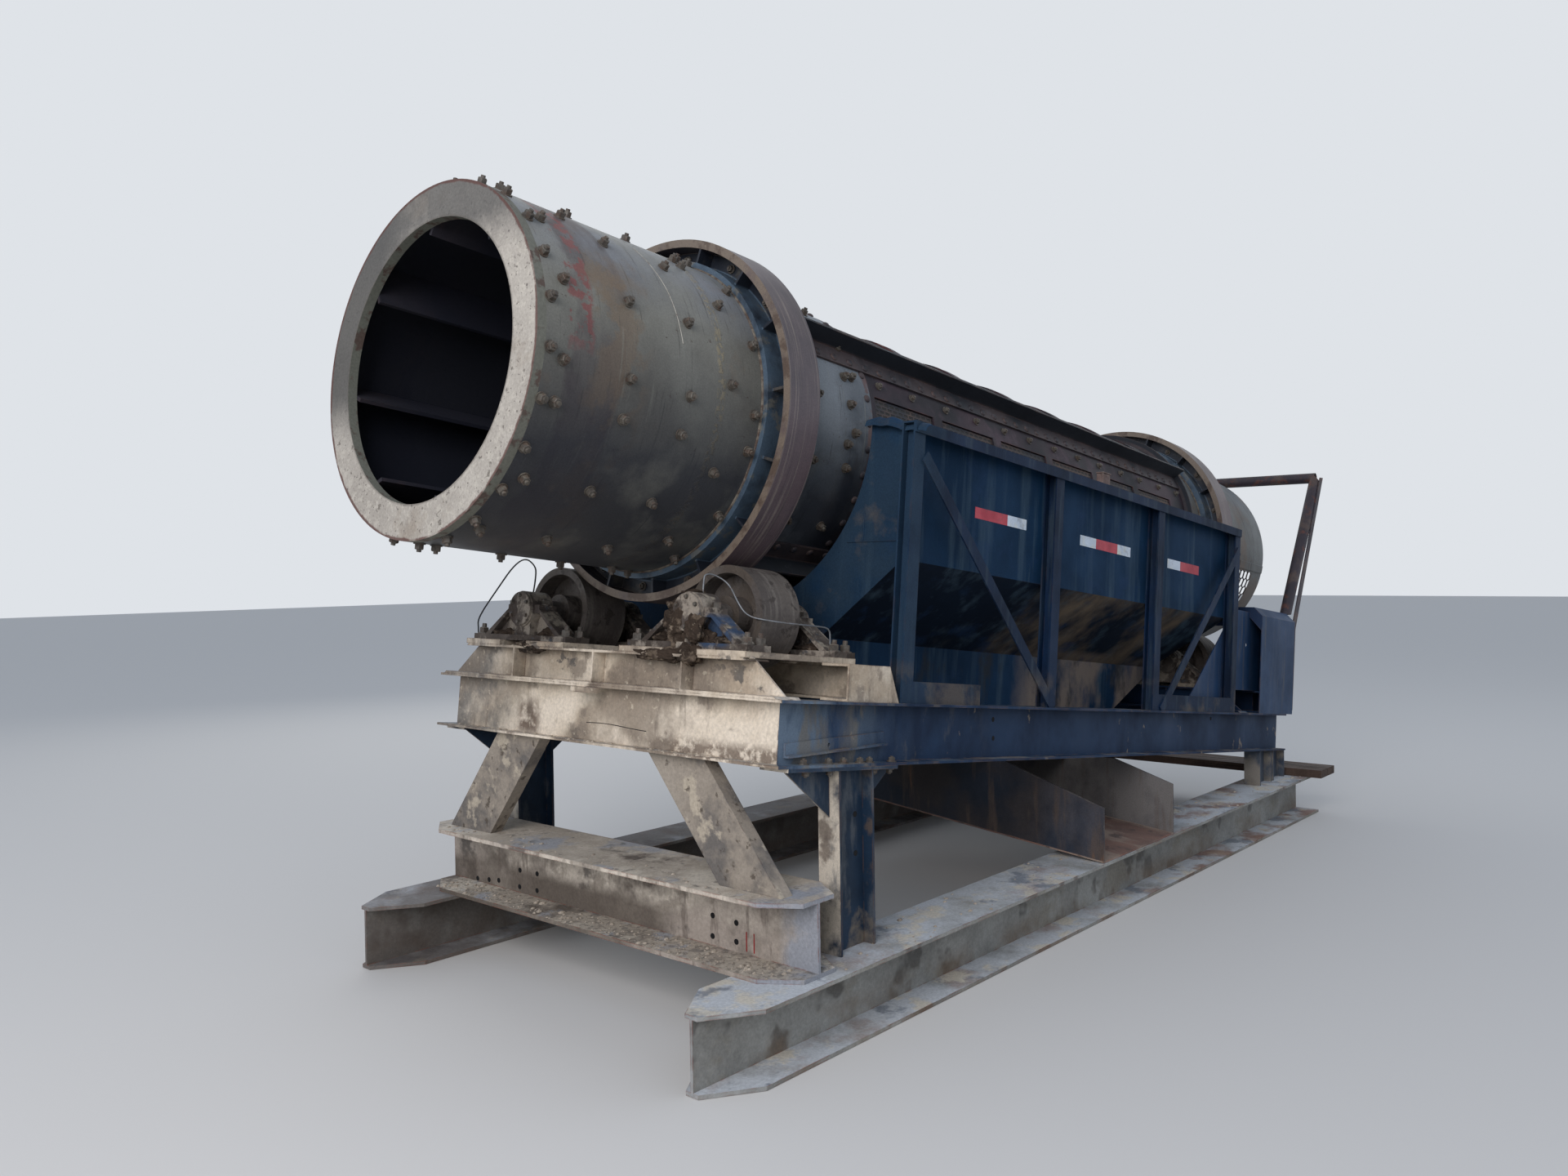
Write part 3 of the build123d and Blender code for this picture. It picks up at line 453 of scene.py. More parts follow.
# Brushed navy enamel gone flat: almost no highlight, so its shine is low
hopper_paint = finish(
    "navy_hopper_paint", "12304a", "0e263b",
    # Painted shade on the slopes and the undersides
    layer("0c131e", 500, (0.1, 0.3), 0.85, "down"),
    # Dust that ran down
    layer("41535f", 625, (0.50, 0.70), 0.62, None, (), RUNS),
    # Tan earth on the upright lower wall, in the middle of its length
    layer("7f7164", 500, (0.36, 0.52), 0.9, "near",
          (("y", -0.66, -0.5, 0.02, 0.0), ("x", 2.75, 4.35, 0.15, 0.7)),
          (1, 1, 0.7)),
    layer("2a2d30", 286, (0.54, 0.62), 0.8, "near", (("y", -0.66, -0.5, 0.02, 0.0),), (1, 1, 0.5)),
    layer("6a5c4b", 667, (0.44, 0.6), 0.85, "down", (("x", 2.3, 4.4, 0.25, 1.2),), (1.2, 1, 0.5)),
    layer("1d3350", 200, (0.56, 0.68), 0.5),
    layer("2c3138", 250, (0.5, 0.62), 0.6, "up"),
    layer("3c2f2b", 111, (0.52, 0.62), 0.6, "edge"),
    # Earth thrown on the feed end plate
    layer("26343f", 500, (0.40, 0.6), 0.7, "front"),
    layer("584f45", 333, (0.55, 0.66), 0.5, "front"),
    about=DECK, clouds=714, rough=0.65, shine=0.08)
dress(hopper_paint, "hopper_side_near", "hopper_side_far", "hopper_front_plate", "hopper_rear_plate",
      "trough_floors")

# %% [markdown]
# ## The hopper's frame
# Posts, rails and ties are rolled angles and channels, painted with the hopper. Their edges have worn to
# rust and mud lies at their feet.

# %% The hopper's frame
# Navy enamel on rolled bars: a faint sheen, brown along the edges
frame_paint = finish(
    "navy_frame_paint", "0a223c", "08182b",
    layer("33404a", 333, (0.52, 0.66), 0.6, None, (), RUNS),
    layer("223647", 500, (0.34, 0.54), 0.75, None, (("x", 0.78, 1.03, 0.02, 0.0),)),
    layer("2a313b", 200, (0.5, 0.62), 0.6, "up"),
    layer("3b302d", 111, (0.5, 0.6), 0.6, "edge"),
    layer("5f5548", 333, (0.48, 0.6), 0.6, None, (("z", -0.1, 0.16, 0.05, 0.2),)),
    about=DECK, rough=0.6, shine=0.16)
dress(frame_paint, "hopper_frame_near", "hopper_frame_far", "hopper_ties")

# %% [markdown]
# ## The rear guard
# Two folded guards close the rear of the deck. They stand in more light than the hopper, so the same
# enamel has faded.

# %% The rear guard
# Faded navy enamel on folded sheet: paler and a little glossier than the hopper
guard_paint = finish(
    "faded_guard_paint", "1d3a5a", "162e49",
    layer("39465a", 500, (0.5, 0.66), 0.6, None, (), RUNS),
    layer("56524d", 333, (0.58, 0.68), 0.5, None, (), RUNS),
    # Painted shade: a darker navy on the faces towards the feed end
    layer("1c2a42", 500, (0.0, 0.1), 0.8, "front"),
    layer("5b4a42", 111, (0.48, 0.6), 0.8, "edge"),
    about=DECK, rough=0.5, shine=0.2)
dress(guard_paint, "rear_guard_near", "rear_guard_far")

# %% [markdown]
# ## The deck beams
# The long beams wear the hopper's enamel. Near the feed end it is scuffed pale and spotted with dried mud,
# and the span of a layer fades that out towards the discharge.

# %% The deck beams
# Navy enamel on rolled beams: dull, with pale scuffs from boots and stones
deck_paint = finish(
    "worn_deck_paint", "0f2b47", "0c2038",
    # Pale wear and dried mud near the feed end
    layer("6b7a87", 417, (0.42, 0.58), 0.75, None, (("x", -0.3, 0.7, 0.35, 1.0),), (1.6, 1.6, 0.6)),
    layer("6a6459", 200, (0.56, 0.64), 0.7, None, (("x", -0.3, 1.3, 0.5, 1.4),), (1.6, 1.6, 0.6)),
    layer("8a7c69", 111, (0.655, 0.70), 0.75, None, (), (1, 1, 0.7)),
    layer("223650", 625, (0.52, 0.64), 0.7, "near", (), (1.6, 1.6, 0.3)),
    layer("57636d", 333, (0.45, 0.62), 0.8, "up"),
    layer("85796a", 200, (0.5, 0.6), 0.6, "up", (), thick=1.0),
    layer("5d4a3f", 111, (0.46, 0.58), 0.9, "edge"),
    # Painted shade on the faces that look down
    layer("161d27", 500, (0.3, 0.5), 0.6, "down"),
    about=DECK, clouds=417, rough=0.6, shine=0.2)
dress(deck_paint, "deck_beam_near", "deck_beam_far", "deck_rear_beam", "beam_patch", "rear_roller_base")

# %% [markdown]
# ## Dried mud on the feed end
# The feed end of the deck is caked in pale dried mud, and where it has flaked off, dark steel shows. A
# crust of real geometry would need a very dense mesh, so its colour and its bump in millimetres stand for
# it. One brown stain and gravel along the lower edge lie where they are on the real beam.

# %% Dried mud on the feed end
# Dried silt: chalky and rough, with no shine at all
front_mud = finish(
    "pale_dried_mud", "d8c9b3", "c4b49c",
    # Darker, damp mud
    layer("a08e78", 455, (0.48, 0.62), 0.8),
    layer("877a6b", 167, (0.56, 0.62), 0.75),
    # Flaked patches down to dark paint
    layer("57534e", 250, (0.64, 0.67), 0.85, None, (), (1, 1, 1.3), -1.6),
    layer("514136", 625, (0.64, 0.68), 0.85),
    # One brown stain on the beam's web
    layer("4f3b2d", 111, (0.36, 0.5), 0.85, None,
          (("y", 0.41, 0.57, 0.03, 0.05), ("z", -0.25, -0.10, 0.03, 0.05))),
    # Gravel stuck along the lower edge near the corner
    layer("6f5f50", 45.5, (0.40, 0.52), 0.85, None,
          (("z", -0.27, -0.19, 0.02, 0.05), ("y", -1.2, -0.35, 0.08, 0.4)),
          thick=2.5),
    # The far end is less caked
    layer("5d5a55", 333, (0.34, 0.52), 0.8, None, (("y", 0.66, 1.4, 0.12, 0.5),)),
    layer("7f7263", 714, (0.50, 0.58), 0.7),
    # Runs, crumbs and rusty edges
    layer("6b5f52", 143, (0.58, 0.68), 0.55, None, (), (1.6, 1.6, 0.35)),
    layer("c3b59e", 33.3, (0.6, 0.66), 0.6, None, (), thick=1.4),
    layer("9b968f", 125, (0.4, 0.56), 0.8, "up", (), thick=1.5),
    layer("4f3a30", 100, (0.44, 0.56), 0.9, "edge"),
    # Painted shade on the faces that look down
    layer("2b2a2a", 500, (0.2, 0.5), 0.7, "down"),
    about=DECK, clouds=385, rough=0.9, grain=1.2, pores=14.3)
dress(front_mud, "deck_front_beam", "front_roller_base", "front_bearing_pads")

# %% [markdown]
# ## The rear bearing pads
# Less earth reaches the rear pads, so their grey paint shows through a thin coat.

# %% The rear bearing pads
# Thin silt on grey paint: rough, with some paint left bare
side_mud = finish(
    "thin_mud_on_grey_paint", "5a5c5b", "4a4c4e",
    layer("a39580", 250, (0.46, 0.56), 0.8, "front"),
    layer("75695a", 333, (0.52, 0.62), 0.75),
    layer("938571", 111, (0.58, 0.64), 0.7, None, (), thick=1.2),
    layer("6f665b", 167, (0.4, 0.56), 0.8, "up", (), thick=1.2),
    layer("4f3a30", 100, (0.44, 0.56), 0.9, "edge"),
    # Painted shade on the faces that look down
    layer("222324", 500, (0.2, 0.5), 0.7, "down"),
    about=DECK, clouds=333, rough=0.85, grain=0.9, pores=12.5)
dress(side_mud, "rear_bearing_pads")

# %% [markdown]
# ## The front braces
# The slanted braces below the front beam catch what falls from it.

# %% The front braces
# Silt dried on painted channel: rough, with dark patches where it fell off
brace_mud = finish(
    "mud_on_braces", "968b7c", "827769",
    layer("5f5b57", 417, (0.5, 0.6), 0.8),
    layer("b0a38e", 143, (0.56, 0.62), 0.8, None, (), thick=1.2),
    layer("4a4036", 62.5, (0.6, 0.65), 0.8, None, (), thick=-1.0),
    layer("3c3d40", 200, (0.5, 0.58), 0.85, "edge"),
    layer("4f3a30", 100, (0.56, 0.62), 0.9, "edge"),
    clouds=417, rough=0.88, grain=1.0, pores=12.5)
dress(brace_mud, "front_braces")

# %% [markdown]
# ## The front legs
# Each leg is a beam stood on end. Mud splashed the flange that faces the feed end and left the rest navy,
# so the layer of silt is kept to the front half of the leg.

# %% The front legs
LEG_MIDDLE = (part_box("front_legs")[0][0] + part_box("front_legs")[1][0]) / 2
# Navy enamel with silt on one face: dull blue against chalky tan
leg_paint = finish(
    "navy_leg_paint", "1d3145", "152433",
    layer("c6b9a5", 250, (0.34, 0.48), 0.92, "front", (("x", -9.0, LEG_MIDDLE, 0.02, 0.0),), thick=0.8),
    layer("94979a", 200, (0.3, 0.5), 0.9, "up", (), thick=0.8),
    layer("5a4c40", 143, (0.56, 0.64), 0.7, "front"),
    layer("525659", 200, (0.54, 0.64), 0.7, None, (), (1.6, 1.6, 0.5)),
    layer("857763", 250, (0.5, 0.62), 0.7, None, (("z", 0.2, 0.52, 0.06, 0.3),)),
    layer("5b463b", 111, (0.46, 0.56), 0.9, "edge"),
    clouds=417, rough=0.55)
dress(leg_paint, "front_legs")

# %% [markdown]
# ## The lower cross beam
# The lower beam lies near the ground. A pale tide of mud stands below its top flange, gravel lies on both
# flanges, and the near end is scoured grey.

# %% The lower cross beam
# Painted beam under silt and gravel: rough and brown, with rusty edges
base_steel = finish(
    "muddy_base_beam", "807669", "61574d",
    # A pale tide of mud below the top flange
    layer("cfc2af", 333, (0.38, 0.52), 0.9, None, (("z", 0.42, 0.62, 0.03, 0.12),), thick=0.8),
    layer("a5988a", 625, (0.50, 0.60), 0.8),
    layer("857a6c", 167, (0.54, 0.62), 0.7),
    layer("4b4641", 312, (0.60, 0.66), 0.75),
    layer("5e5248", 125, (0.56, 0.66), 0.6, None, (), (2, 2, 0.4)),
    # The far half is darker, and the near end is scoured grey
    layer("544a40", 667, (0.36, 0.52), 0.8, None,
          (("y", -0.25, 1.5, 0.20, 0.6), ("z", 0.0, 0.43, 0.03, 0.08))),
    layer("8b8d91", 333, (0.30, 0.46), 0.9, None, (("y", -1.4, -1.03, 0.03, 0.0),)),
    # The flange tops hold dust, gravel and scoured steel
    layer("a89c8b", 200, (0.36, 0.52), 0.9, "up", (), thick=1.5),
    layer("c9beab", 417, (0.50, 0.60), 0.8, "up"),
    layer("94969a", 294, (0.54, 0.62), 0.8, "up"),
    layer("6a6259", 27.8, (0.50, 0.60), 0.6, "up", (("z", 0.28, 0.36, 0.01, 0.0),), thick=2.0),
    layer("5e5a55", 71.4, (0.60, 0.66), 0.6, "up"),
    layer("74402f", 90.9, (0.44, 0.54), 0.9, "edge"),
    # Painted shade on the faces that look down
    layer("222120", 500, (0.2, 0.5), 0.7, "down"),
    clouds=455, rough=0.85, grain=1.0, pores=12.5)
dress(base_steel, "lower_cross_beam")

# %% [markdown]
# ## The skids
# The skids are dragged over the ground, which keeps their sides grey. Their tops hold dust and pale,
# scoured steel, and the far one is browner.

# %% The skids
# Beam scoured by the ground: matt grey, with rusty edges and dust on top
skid_steel = finish(
    "scoured_skid_steel", "96948c", "7b7972",
    layer("7d7668", 333, (0.5, 0.62), 0.7, None, (), (1, 1, 1.4)),
    layer("4a4743", 200, (0.56, 0.64), 0.7),
    layer("6a5a49", 400, (0.45, 0.6), 0.7, None, (("z", -0.1, 0.10, 0.04, 0.1),)),
    layer("b9bbbb", 385, (0.3, 0.5), 0.9, "up"),
    layer("8d7466", 333, (0.52, 0.64), 0.6, "up"),
    layer("c2b8a4", 200, (0.54, 0.62), 0.85, "up", (), thick=1.4),
    layer("6d7278", 294, (0.57, 0.63), 0.8, "up"),
    layer("7c5a48", 333, (0.50, 0.62), 0.7, "up", (("x", 0.5, 4.0, 0.4, 1.0),)),
    layer("9fa09e", 333, (0.30, 0.50), 0.7, "front"),
    # The far skid is browner and darker
    layer("51473f", 625, (0.26, 0.48), 0.8, None, (("y", 0.0, 1.5, 0.1, 0.0),)),
    layer("754536", 100, (0.46, 0.58), 0.85, "edge"),
    clouds=500, rough=0.8, grain=0.9, pores=12.5)
dress(skid_steel, "skid_near", "skid_far")

# %% [markdown]
# ## The rear legs
# The short rear legs stand between deck and skids, out of the wet, under dust.

# %% The rear legs
# Dusty enamel: grey, with no shine
rear_leg_paint = finish(
    "dusty_rear_leg", "4a5058", "343c47",
    layer("857c6f", 250, (0.44, 0.58), 0.8, "front"),
    layer("6b6459", 200, (0.54, 0.64), 0.7),
    layer("5b463b", 111, (0.5, 0.6), 0.8, "edge"),
    rough=0.65)
dress(rear_leg_paint, "rear_legs")

# %% [markdown]
# ## The bearings
# The pillow blocks are sand cast, so they were rough to begin with. Grease holds earth on them in lumps of
# a few millimetres. Blue paint still shows on one leg of the near front block.

# %% The bearings
# Cast iron under grease and earth: rough and lumpy, dark in the hollows
bearing_iron = finish(
    "earth_on_cast_iron", "5c534a", "463e38",
    layer("94897a", 111, (0.5, 0.58), 0.8, None, (), thick=1.2),
    layer("3d342d", 143, (0.52, 0.58), 0.9, None, (), thick=2.5),
    layer("a39885", 83.3, (0.5, 0.58), 0.7, "up", (), thick=1.0),
    layer("4b4e52", 71.4, (0.6, 0.66), 0.7),
    # Blue paint shows on one leg of the near front block
    layer("2c4058", 71.4, (0.40, 0.50), 0.85, None,
          (("x", -0.02, 0.20, 0.01, 0.0), ("y", -0.80, -0.62, 0.02, 0.0), ("z", 0.19, 0.32, 0.01, 0.02))),
    layer("35302c", 83.3, (0.5, 0.6), 0.8, "edge"),
    about=DECK, clouds=200, rough=0.9, grain=1.6, pores=12.5)
dress(bearing_iron, "front_bearings_near", "front_bearings_far", "rear_bearings_near", "rear_bearings_far")

# %% [markdown]
# ## The rollers
# The rollers run against the riding rings, so their treads are smooth and their ends are caked. The drum's
# own directions serve again, because their axes run beside its axis.

# %% The rollers
# Forged steel, rolled smooth and caked at its ends: a dull metal sheen on the tread
roller_steel = finish(
    "earth_on_roller", "625a52", "4d4641",
    layer("756e65", 333, (0.5, 0.62), 0.6, "round", (), (12, 0.8, 0.8)),
    layer("3a332e", 62.5, (0.56, 0.62), 0.85, None, (), thick=1.5),
    layer("4a4036", 167, (0.4, 0.56), 0.85, "ends", (), thick=2.0),
    about=DRUM, clouds=200, rough=0.6, metal=0.2, grain=1.2, pores=11.1)
dress(roller_steel, "front_roller_near", "front_roller_far", "rear_roller_near", "rear_roller_far")

# %% [markdown]
# ## The chute's walls
# Sieved earth slides out between two tall walls. It has scoured their mouths and left streaks of rust.

# %% The chute's walls
# Blue black enamel scoured by gravel: dull, with bare patches at the mouth
chute_steel = finish(
    "scoured_chute_steel", "1f2733", "181e28",
    layer("3a322e", 500, (0.42, 0.58), 0.7),
    layer("565254", 417, (0.42, 0.62), 0.6, None, (("y", -1.4, -0.80, 0.12, 0.4),), (1, 1, 0.6)),
    layer("77726c", 500, (0.40, 0.58), 0.7, "front", (("x", -0.2, 3.0, 0.1, 0.0),), (1, 1, 0.7)),
    layer("8a5a35", 167, (0.68, 0.72), 0.6, None, (), (2, 2, 0.3)),
    layer("56473c", 250, (0.55, 0.66), 0.6, None, (), (3, 3, 0.4)),
    layer("6f665b", 111, (0.5, 0.6), 0.8, "edge"),
    rough=0.62)
dress(chute_steel, "chute_front_wall", "chute_rear_wall", "chute_back_wall")

# %% [markdown]
# ## The chute's floor
# The floor has lost all its paint to the earth that slides over it.

# %% The chute's floor
# Bare sheet, evenly rusted: matt red brown
floor_rust = finish(
    "rusty_chute_floor", "7d6154", "66524a",
    layer("8f7f70", 250, (0.5, 0.6), 0.8, None, (), (1, 0.4, 1)),
    layer("4f4541", 111, (0.56, 0.62), 0.8, None, (), thick=1.0),
    layer("84503a", 143, (0.5, 0.6), 0.8, "edge"),
    rough=0.7)
dress(floor_rust, "chute_floor")

# %% [markdown]
# ## The pipe hoop
# A hoop of welded pipe stands at the discharge. The same finish serves for the heavy mesh of the drum's
# end.

# %% The pipe hoop
# Rusty pipe, once painted: matt, dark, brown in spots
hoop_rust = finish(
    "rusty_pipe", "383035", "29262c",
    layer("57483f", 167, (0.52, 0.62), 0.6),
    layer("5d3a2e", 90.9, (0.56, 0.64), 0.7),
    rough=0.55, grain=0.5)
dress(hoop_rust, "hoop_cross_pipe", "hoop_legs", "hoop_bars")

# %% [markdown]
# ## The planks
# Two planks lie across the skids at the rear. Grain is noise drawn out thirty times along the plank.

# %% The planks
# Sawn softwood, weathered: grey brown, with dark lines along the grain
timber = finish(
    "weathered_plank", "57453a", "43352d",
    layer("2f2621", 500, (0.52, 0.6), 0.8, None, (), (24, 0.6, 24)),
    layer("8a8177", 333, (0.5, 0.62), 0.6, "up", (), (20, 0.6, 20)),
    rough=0.85, grain=1.2, pores=16.7)
dress(timber, "rear_planks")

# %% [markdown]
# ## The screen plates
# The screen is rolled steel sheet, punched with short slots in staggered rows. There are thousands of
# them, far too many to cut, so the sheet is one smooth shell and a pattern round the drum's axis paints
# and sinks each slot. A brick pattern fits, with the slots as bricks and the steel between them as mortar.
# The slots are about 30 mm long and 9 mm wide in reality, and are drawn a little larger here so that they
# show.

# %% Punched screen plate
SLOT_STEP, ROW_STEP, SLOT_DEPTH = 0.045, 0.022, 0.006
R_SHEET = 0.693
# Punched steel under a brown film: half metal, with sharp dark holes
slot_plate = bpy.data.materials.new("slotted_screen_steel")
slot_plate.use_nodes = True
tree = slot_plate.node_tree
tree.nodes.clear()
place = coordinates(tree, DRUM)
arc = add(tree, "Math", {0: along(tree, place, "a"), 1: R_SHEET * math.pi / 180},
          operation="MULTIPLY").outputs[0]
flat = add(tree, "CombineXYZ", {0: along(tree, place, "x"), 1: arc}).outputs[0]
steel = add(tree, "TexBrick", {"Vector": flat, "Color1": (0, 0, 0, 1), "Color2": (0, 0, 0, 1),
                               "Mortar": (1, 1, 1, 1), "Scale": 1.0, "Mortar Size": 0.0065,
                               "Mortar Smooth": 0.3, "Brick Width": SLOT_STEP,
                               "Row Height": ROW_STEP}).outputs[0]
rusted = add(tree, "MapRange", {0: blotches(tree, place, 200), 1: 0.4, 2: 0.62}, clamp=True).outputs[0]
sheet = add(tree, "Mix", {0: rusted, 6: srgb("1e2029"), 7: srgb("4d3a30")}, data_type="RGBA").outputs[2]
# The slots are painted near black, as painted shade of the unlit inside seen through them
colour = add(tree, "Mix", {0: steel, 6: srgb("060606"), 7: sheet}, data_type="RGBA").outputs[2]
relief = add(tree, "Bump", {"Height": steel, "Strength": 1.0, "Distance": SLOT_DEPTH}).outputs[0]
shader = add(tree, "BsdfPrincipled", {"Base Color": colour, "Roughness": 0.6, "Metallic": 0.3,
                                      "Normal": relief})
add(tree, "OutputMaterial", {0: shader.outputs[0]})
dress(slot_plate, "screen_shell")

# %% [markdown]
# ## One way to make a piece
# Every new piece starts as a bmesh, gets its place in its mesh, and is handed to the body that carries it.
# This function does that last part, and prints what it made.

# %% Finish a piece


def piece(name, bm, body, material):
    """Turns a bmesh into an object at the origin that rides on a body."""
    mesh = bpy.data.meshes.new(name)
    bm.to_mesh(mesh)
    bm.free()
    made = bpy.data.objects.new(name, mesh)
    bpy.context.collection.objects.link(made)
    mesh.materials.append(material)
    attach(made, body)
    print(name, len(mesh.polygons), "faces on", body)
    return made


def copies(pattern, places):
    """Repeats a small mesh at each place and joins the copies in one bmesh."""
    bm = bmesh.new()
    for place in places:
        first = len(bm.verts)
        bm.from_mesh(pattern)
        bm.verts.ensure_lookup_table()
        bmesh.ops.transform(bm, matrix=place, verts=bm.verts[first:])
    return bm


def spin():
    """A random turn about a bolt's own axis."""
    return Matrix.Rotation(random.uniform(0, 6.283), 4, "Z")


to_front = Matrix.Rotation(math.radians(-90), 4, "Y")
to_near = Matrix.Rotation(math.radians(90), 4, "X")
print("to_front turns a piece's own Z to", [round(v) for v in to_front @ Vector((0, 0, 1))])

# %% [markdown]
# ## Bolts
# The shell's liners are held by bolts from inside, so outside there is a washer, a square or hex nut and
# the end of the bolt. A cone with four or six sides and equal radii is a nut, and a bevel on its top edges
# takes the sharpness off. One small pattern is copied to every place.

# %% Nut patterns


def bolt_pattern(name, across, height, sides=6, stud=0.0, washer=1.6):
    """A nut on a washer, with the bolt's end standing out of it."""
    bm = bmesh.new()
    if washer:
        disc = bmesh.ops.create_cone(bm, cap_ends=True, segments=14, radius1=across * washer / 2,
                                     radius2=across * washer / 2, depth=0.005)["verts"]
        bmesh.ops.translate(bm, vec=(0, 0, 0.002), verts=disc)
    reach = across / 2 / math.cos(math.pi / sides)
    nut = bmesh.ops.create_cone(bm, cap_ends=True, segments=sides, radius1=reach, radius2=reach,
                                depth=height)["verts"]
    bmesh.ops.translate(bm, vec=(0, 0, height / 2 + 0.003), verts=nut)
    top = [e for e in bm.edges if all(v in nut and v.co.z > height * 0.9 for v in e.verts)]
    bmesh.ops.bevel(bm, geom=top, offset=across * 0.08, offset_type="OFFSET", affect="EDGES", segments=1,
                    profile=0.5, material=-1)
    if stud:
        end = bmesh.ops.create_cone(bm, cap_ends=True, segments=10, radius1=across * 0.3,
                                    radius2=across * 0.27, depth=stud)["verts"]
        bmesh.ops.translate(bm, vec=(0, 0, height + stud / 2), verts=end)
    mesh = bpy.data.meshes.new(name)
    bm.to_mesh(mesh)
    bm.free()
    return mesh


shell_nut = bolt_pattern("shell_nut", 0.033, 0.022, stud=0.013, washer=1.45)
small_nut = bolt_pattern("small_nut", 0.026, 0.016, stud=0.008)
block_nut = bolt_pattern("block_nut", 0.040, 0.028, stud=0.022, washer=1.5)
# Zinc plated steel gone rusty: dull metal under brown dust
bolt_steel = finish("rusty_bolt_steel", "59534a", "453f38", layer("8b8272", 50, (0.5, 0.6), 0.7, "up"),
                    layer("4c3a2e", 25, (0.5, 0.6), 0.7), clouds=33.3, rough=0.6, metal=0.2)
print("faces of the nuts", len(shell_nut.polygons), len(small_nut.polygons), len(block_nut.polygons))

# %% [markdown]
# ## Rivets
# A rivet's head is a low dome. A ball cut in half and pressed flat gives it with twelve sides, which is
# enough for a thing of 38 mm that is repeated hundreds of times.

# %% Rivet pattern


def rivet_pattern(name, radius, height):
    """A low round rivet head."""
    bm = bmesh.new()
    bmesh.ops.create_uvsphere(bm, u_segments=12, v_segments=8, radius=radius)
    bmesh.ops.bisect_plane(bm, geom=bm.verts[:] + bm.edges[:] + bm.faces[:], plane_co=(0, 0, 0),
                           plane_no=(0, 0, 1), clear_inner=True)
    bmesh.ops.scale(bm, vec=(1, 1, height / radius), verts=bm.verts[:])
    bmesh.ops.edgeloop_fill(bm, edges=[e for e in bm.edges if e.is_boundary])
    bmesh.ops.recalc_face_normals(bm, faces=bm.faces[:])
    mesh = bpy.data.meshes.new(name)
    bm.to_mesh(mesh)
    bm.free()
    return mesh


rivet = rivet_pattern("rivet_head", 0.019, 0.012)
print("rivet", len(rivet.polygons), "faces")

# %% [markdown]
# ## Where the shell's bolts go
# On the feed shell the rows go round the drum. The photo shows rows about 0.32 m apart with a bolt every
# 24.8 degrees, which is fifteen to a turn with one short step at the joint of the liner, and a closer row
# of twenty-four by the feed ring. Measured places are kept, and each bolt is turned at random about its
# axis, because tightening leaves every nut at an angle of its own.

# %% Bolts on the feed shell
R_SHELL = 0.703
LINER_ROWS = (-0.798, -0.485, -0.172, 0.205)
LINER_STEP = 24.82
liner = []
for u in LINER_ROWS:
    for k in range(15):
        liner.append(on_shell(u + random.uniform(-0.008, 0.008), -4.6 + LINER_STEP * k, R_SHELL) @ spin())
for k in range(24):
    liner.append(on_shell(-0.863, -2 + 15 * k, R_SHELL) @ spin())
for k in range(12):
    liner.append(on_shell(0.060, 3.2 + 30 * k, R_SHELL) @ spin())
ODD_BOLTS = ((-0.633, 55.4), (-0.008, 52.7), (-0.006, 58.3), (0.842, 21.1), (0.899, 21.9), (0.843, -5.3),
             (0.893, -0.4))
for u, angle in ODD_BOLTS:
    liner.append(on_shell(u, angle, R_SHELL) @ spin())
for u in (0.62, 0.86):
    for k in range(15):
        liner.append(on_shell(u, 10 + 24 * k, R_SHELL) @ spin())
piece("shell_bolts", copies(shell_nut, liner), "drum", bolt_steel)

# %% [markdown]
# ## Bolts in the riding rings
# Sixteen small bolts stand in the web of each riding ring, on the side towards the feed end. Their pattern
# is the small nut, laid against the web's face.

# %% Bolts in the webs
RINGS = (0.373, 5.119)
WEB_FACE = 0.011
R_WEB_BOLTS = 0.765
web = []
for middle in RINGS:
    for k in range(16):
        web.append(on_shell(middle - WEB_FACE, 16.4 + 22.5 * k, R_WEB_BOLTS) @ to_front @ spin())
piece("web_bolts", copies(small_nut, web), "drum", bolt_steel)

# %% [markdown]
# ## Rivets and bolts along the screen
# Each long T bar is riveted to the drum through its base strip, and bolts hold the punched plates to the
# cage beside it. They follow straight lines along the drum.

# %% Rivets and bolts of the screen
BARS = (34, 124, 214, 304)
SCREEN_END = 4.66
STRIP_THICK = 0.012
RIVET_STEP, BOLT_STEP = 0.118, 0.29
rows = []
plate_bolts = []
for bar in BARS:
    u = 0.56
    while u < SCREEN_END:
        for side in (-5.6, 5.6):
            rows.append(on_shell(u, bar + side, R_SHELL + STRIP_THICK))
        u += RIVET_STEP
    for side in (-11.5, 8.4):
        u = 1.12
        while u < SCREEN_END:
            plate_bolts.append(on_shell(u + random.uniform(-0.01, 0.01), bar + side, R_SHELL) @ spin())
            u += BOLT_STEP
for k in range(36):
    rows.append(on_shell(1.0, 5 + 10 * k, R_SHELL))
piece("strip_rivets", copies(rivet, rows), "drum", stringer_paint)
piece("plate_bolts", copies(small_nut, plate_bolts), "drum", bolt_steel)

# %% [markdown]
# ## Reflective tape
# Three strips of road tape are stuck on the near side of the hopper: two inches tall, with red lengths of
# eleven inches and white lengths of seven. Each is a thin sheet with one colour, a little cracked and
# dusty, because the glass beads under its skin have let water in.

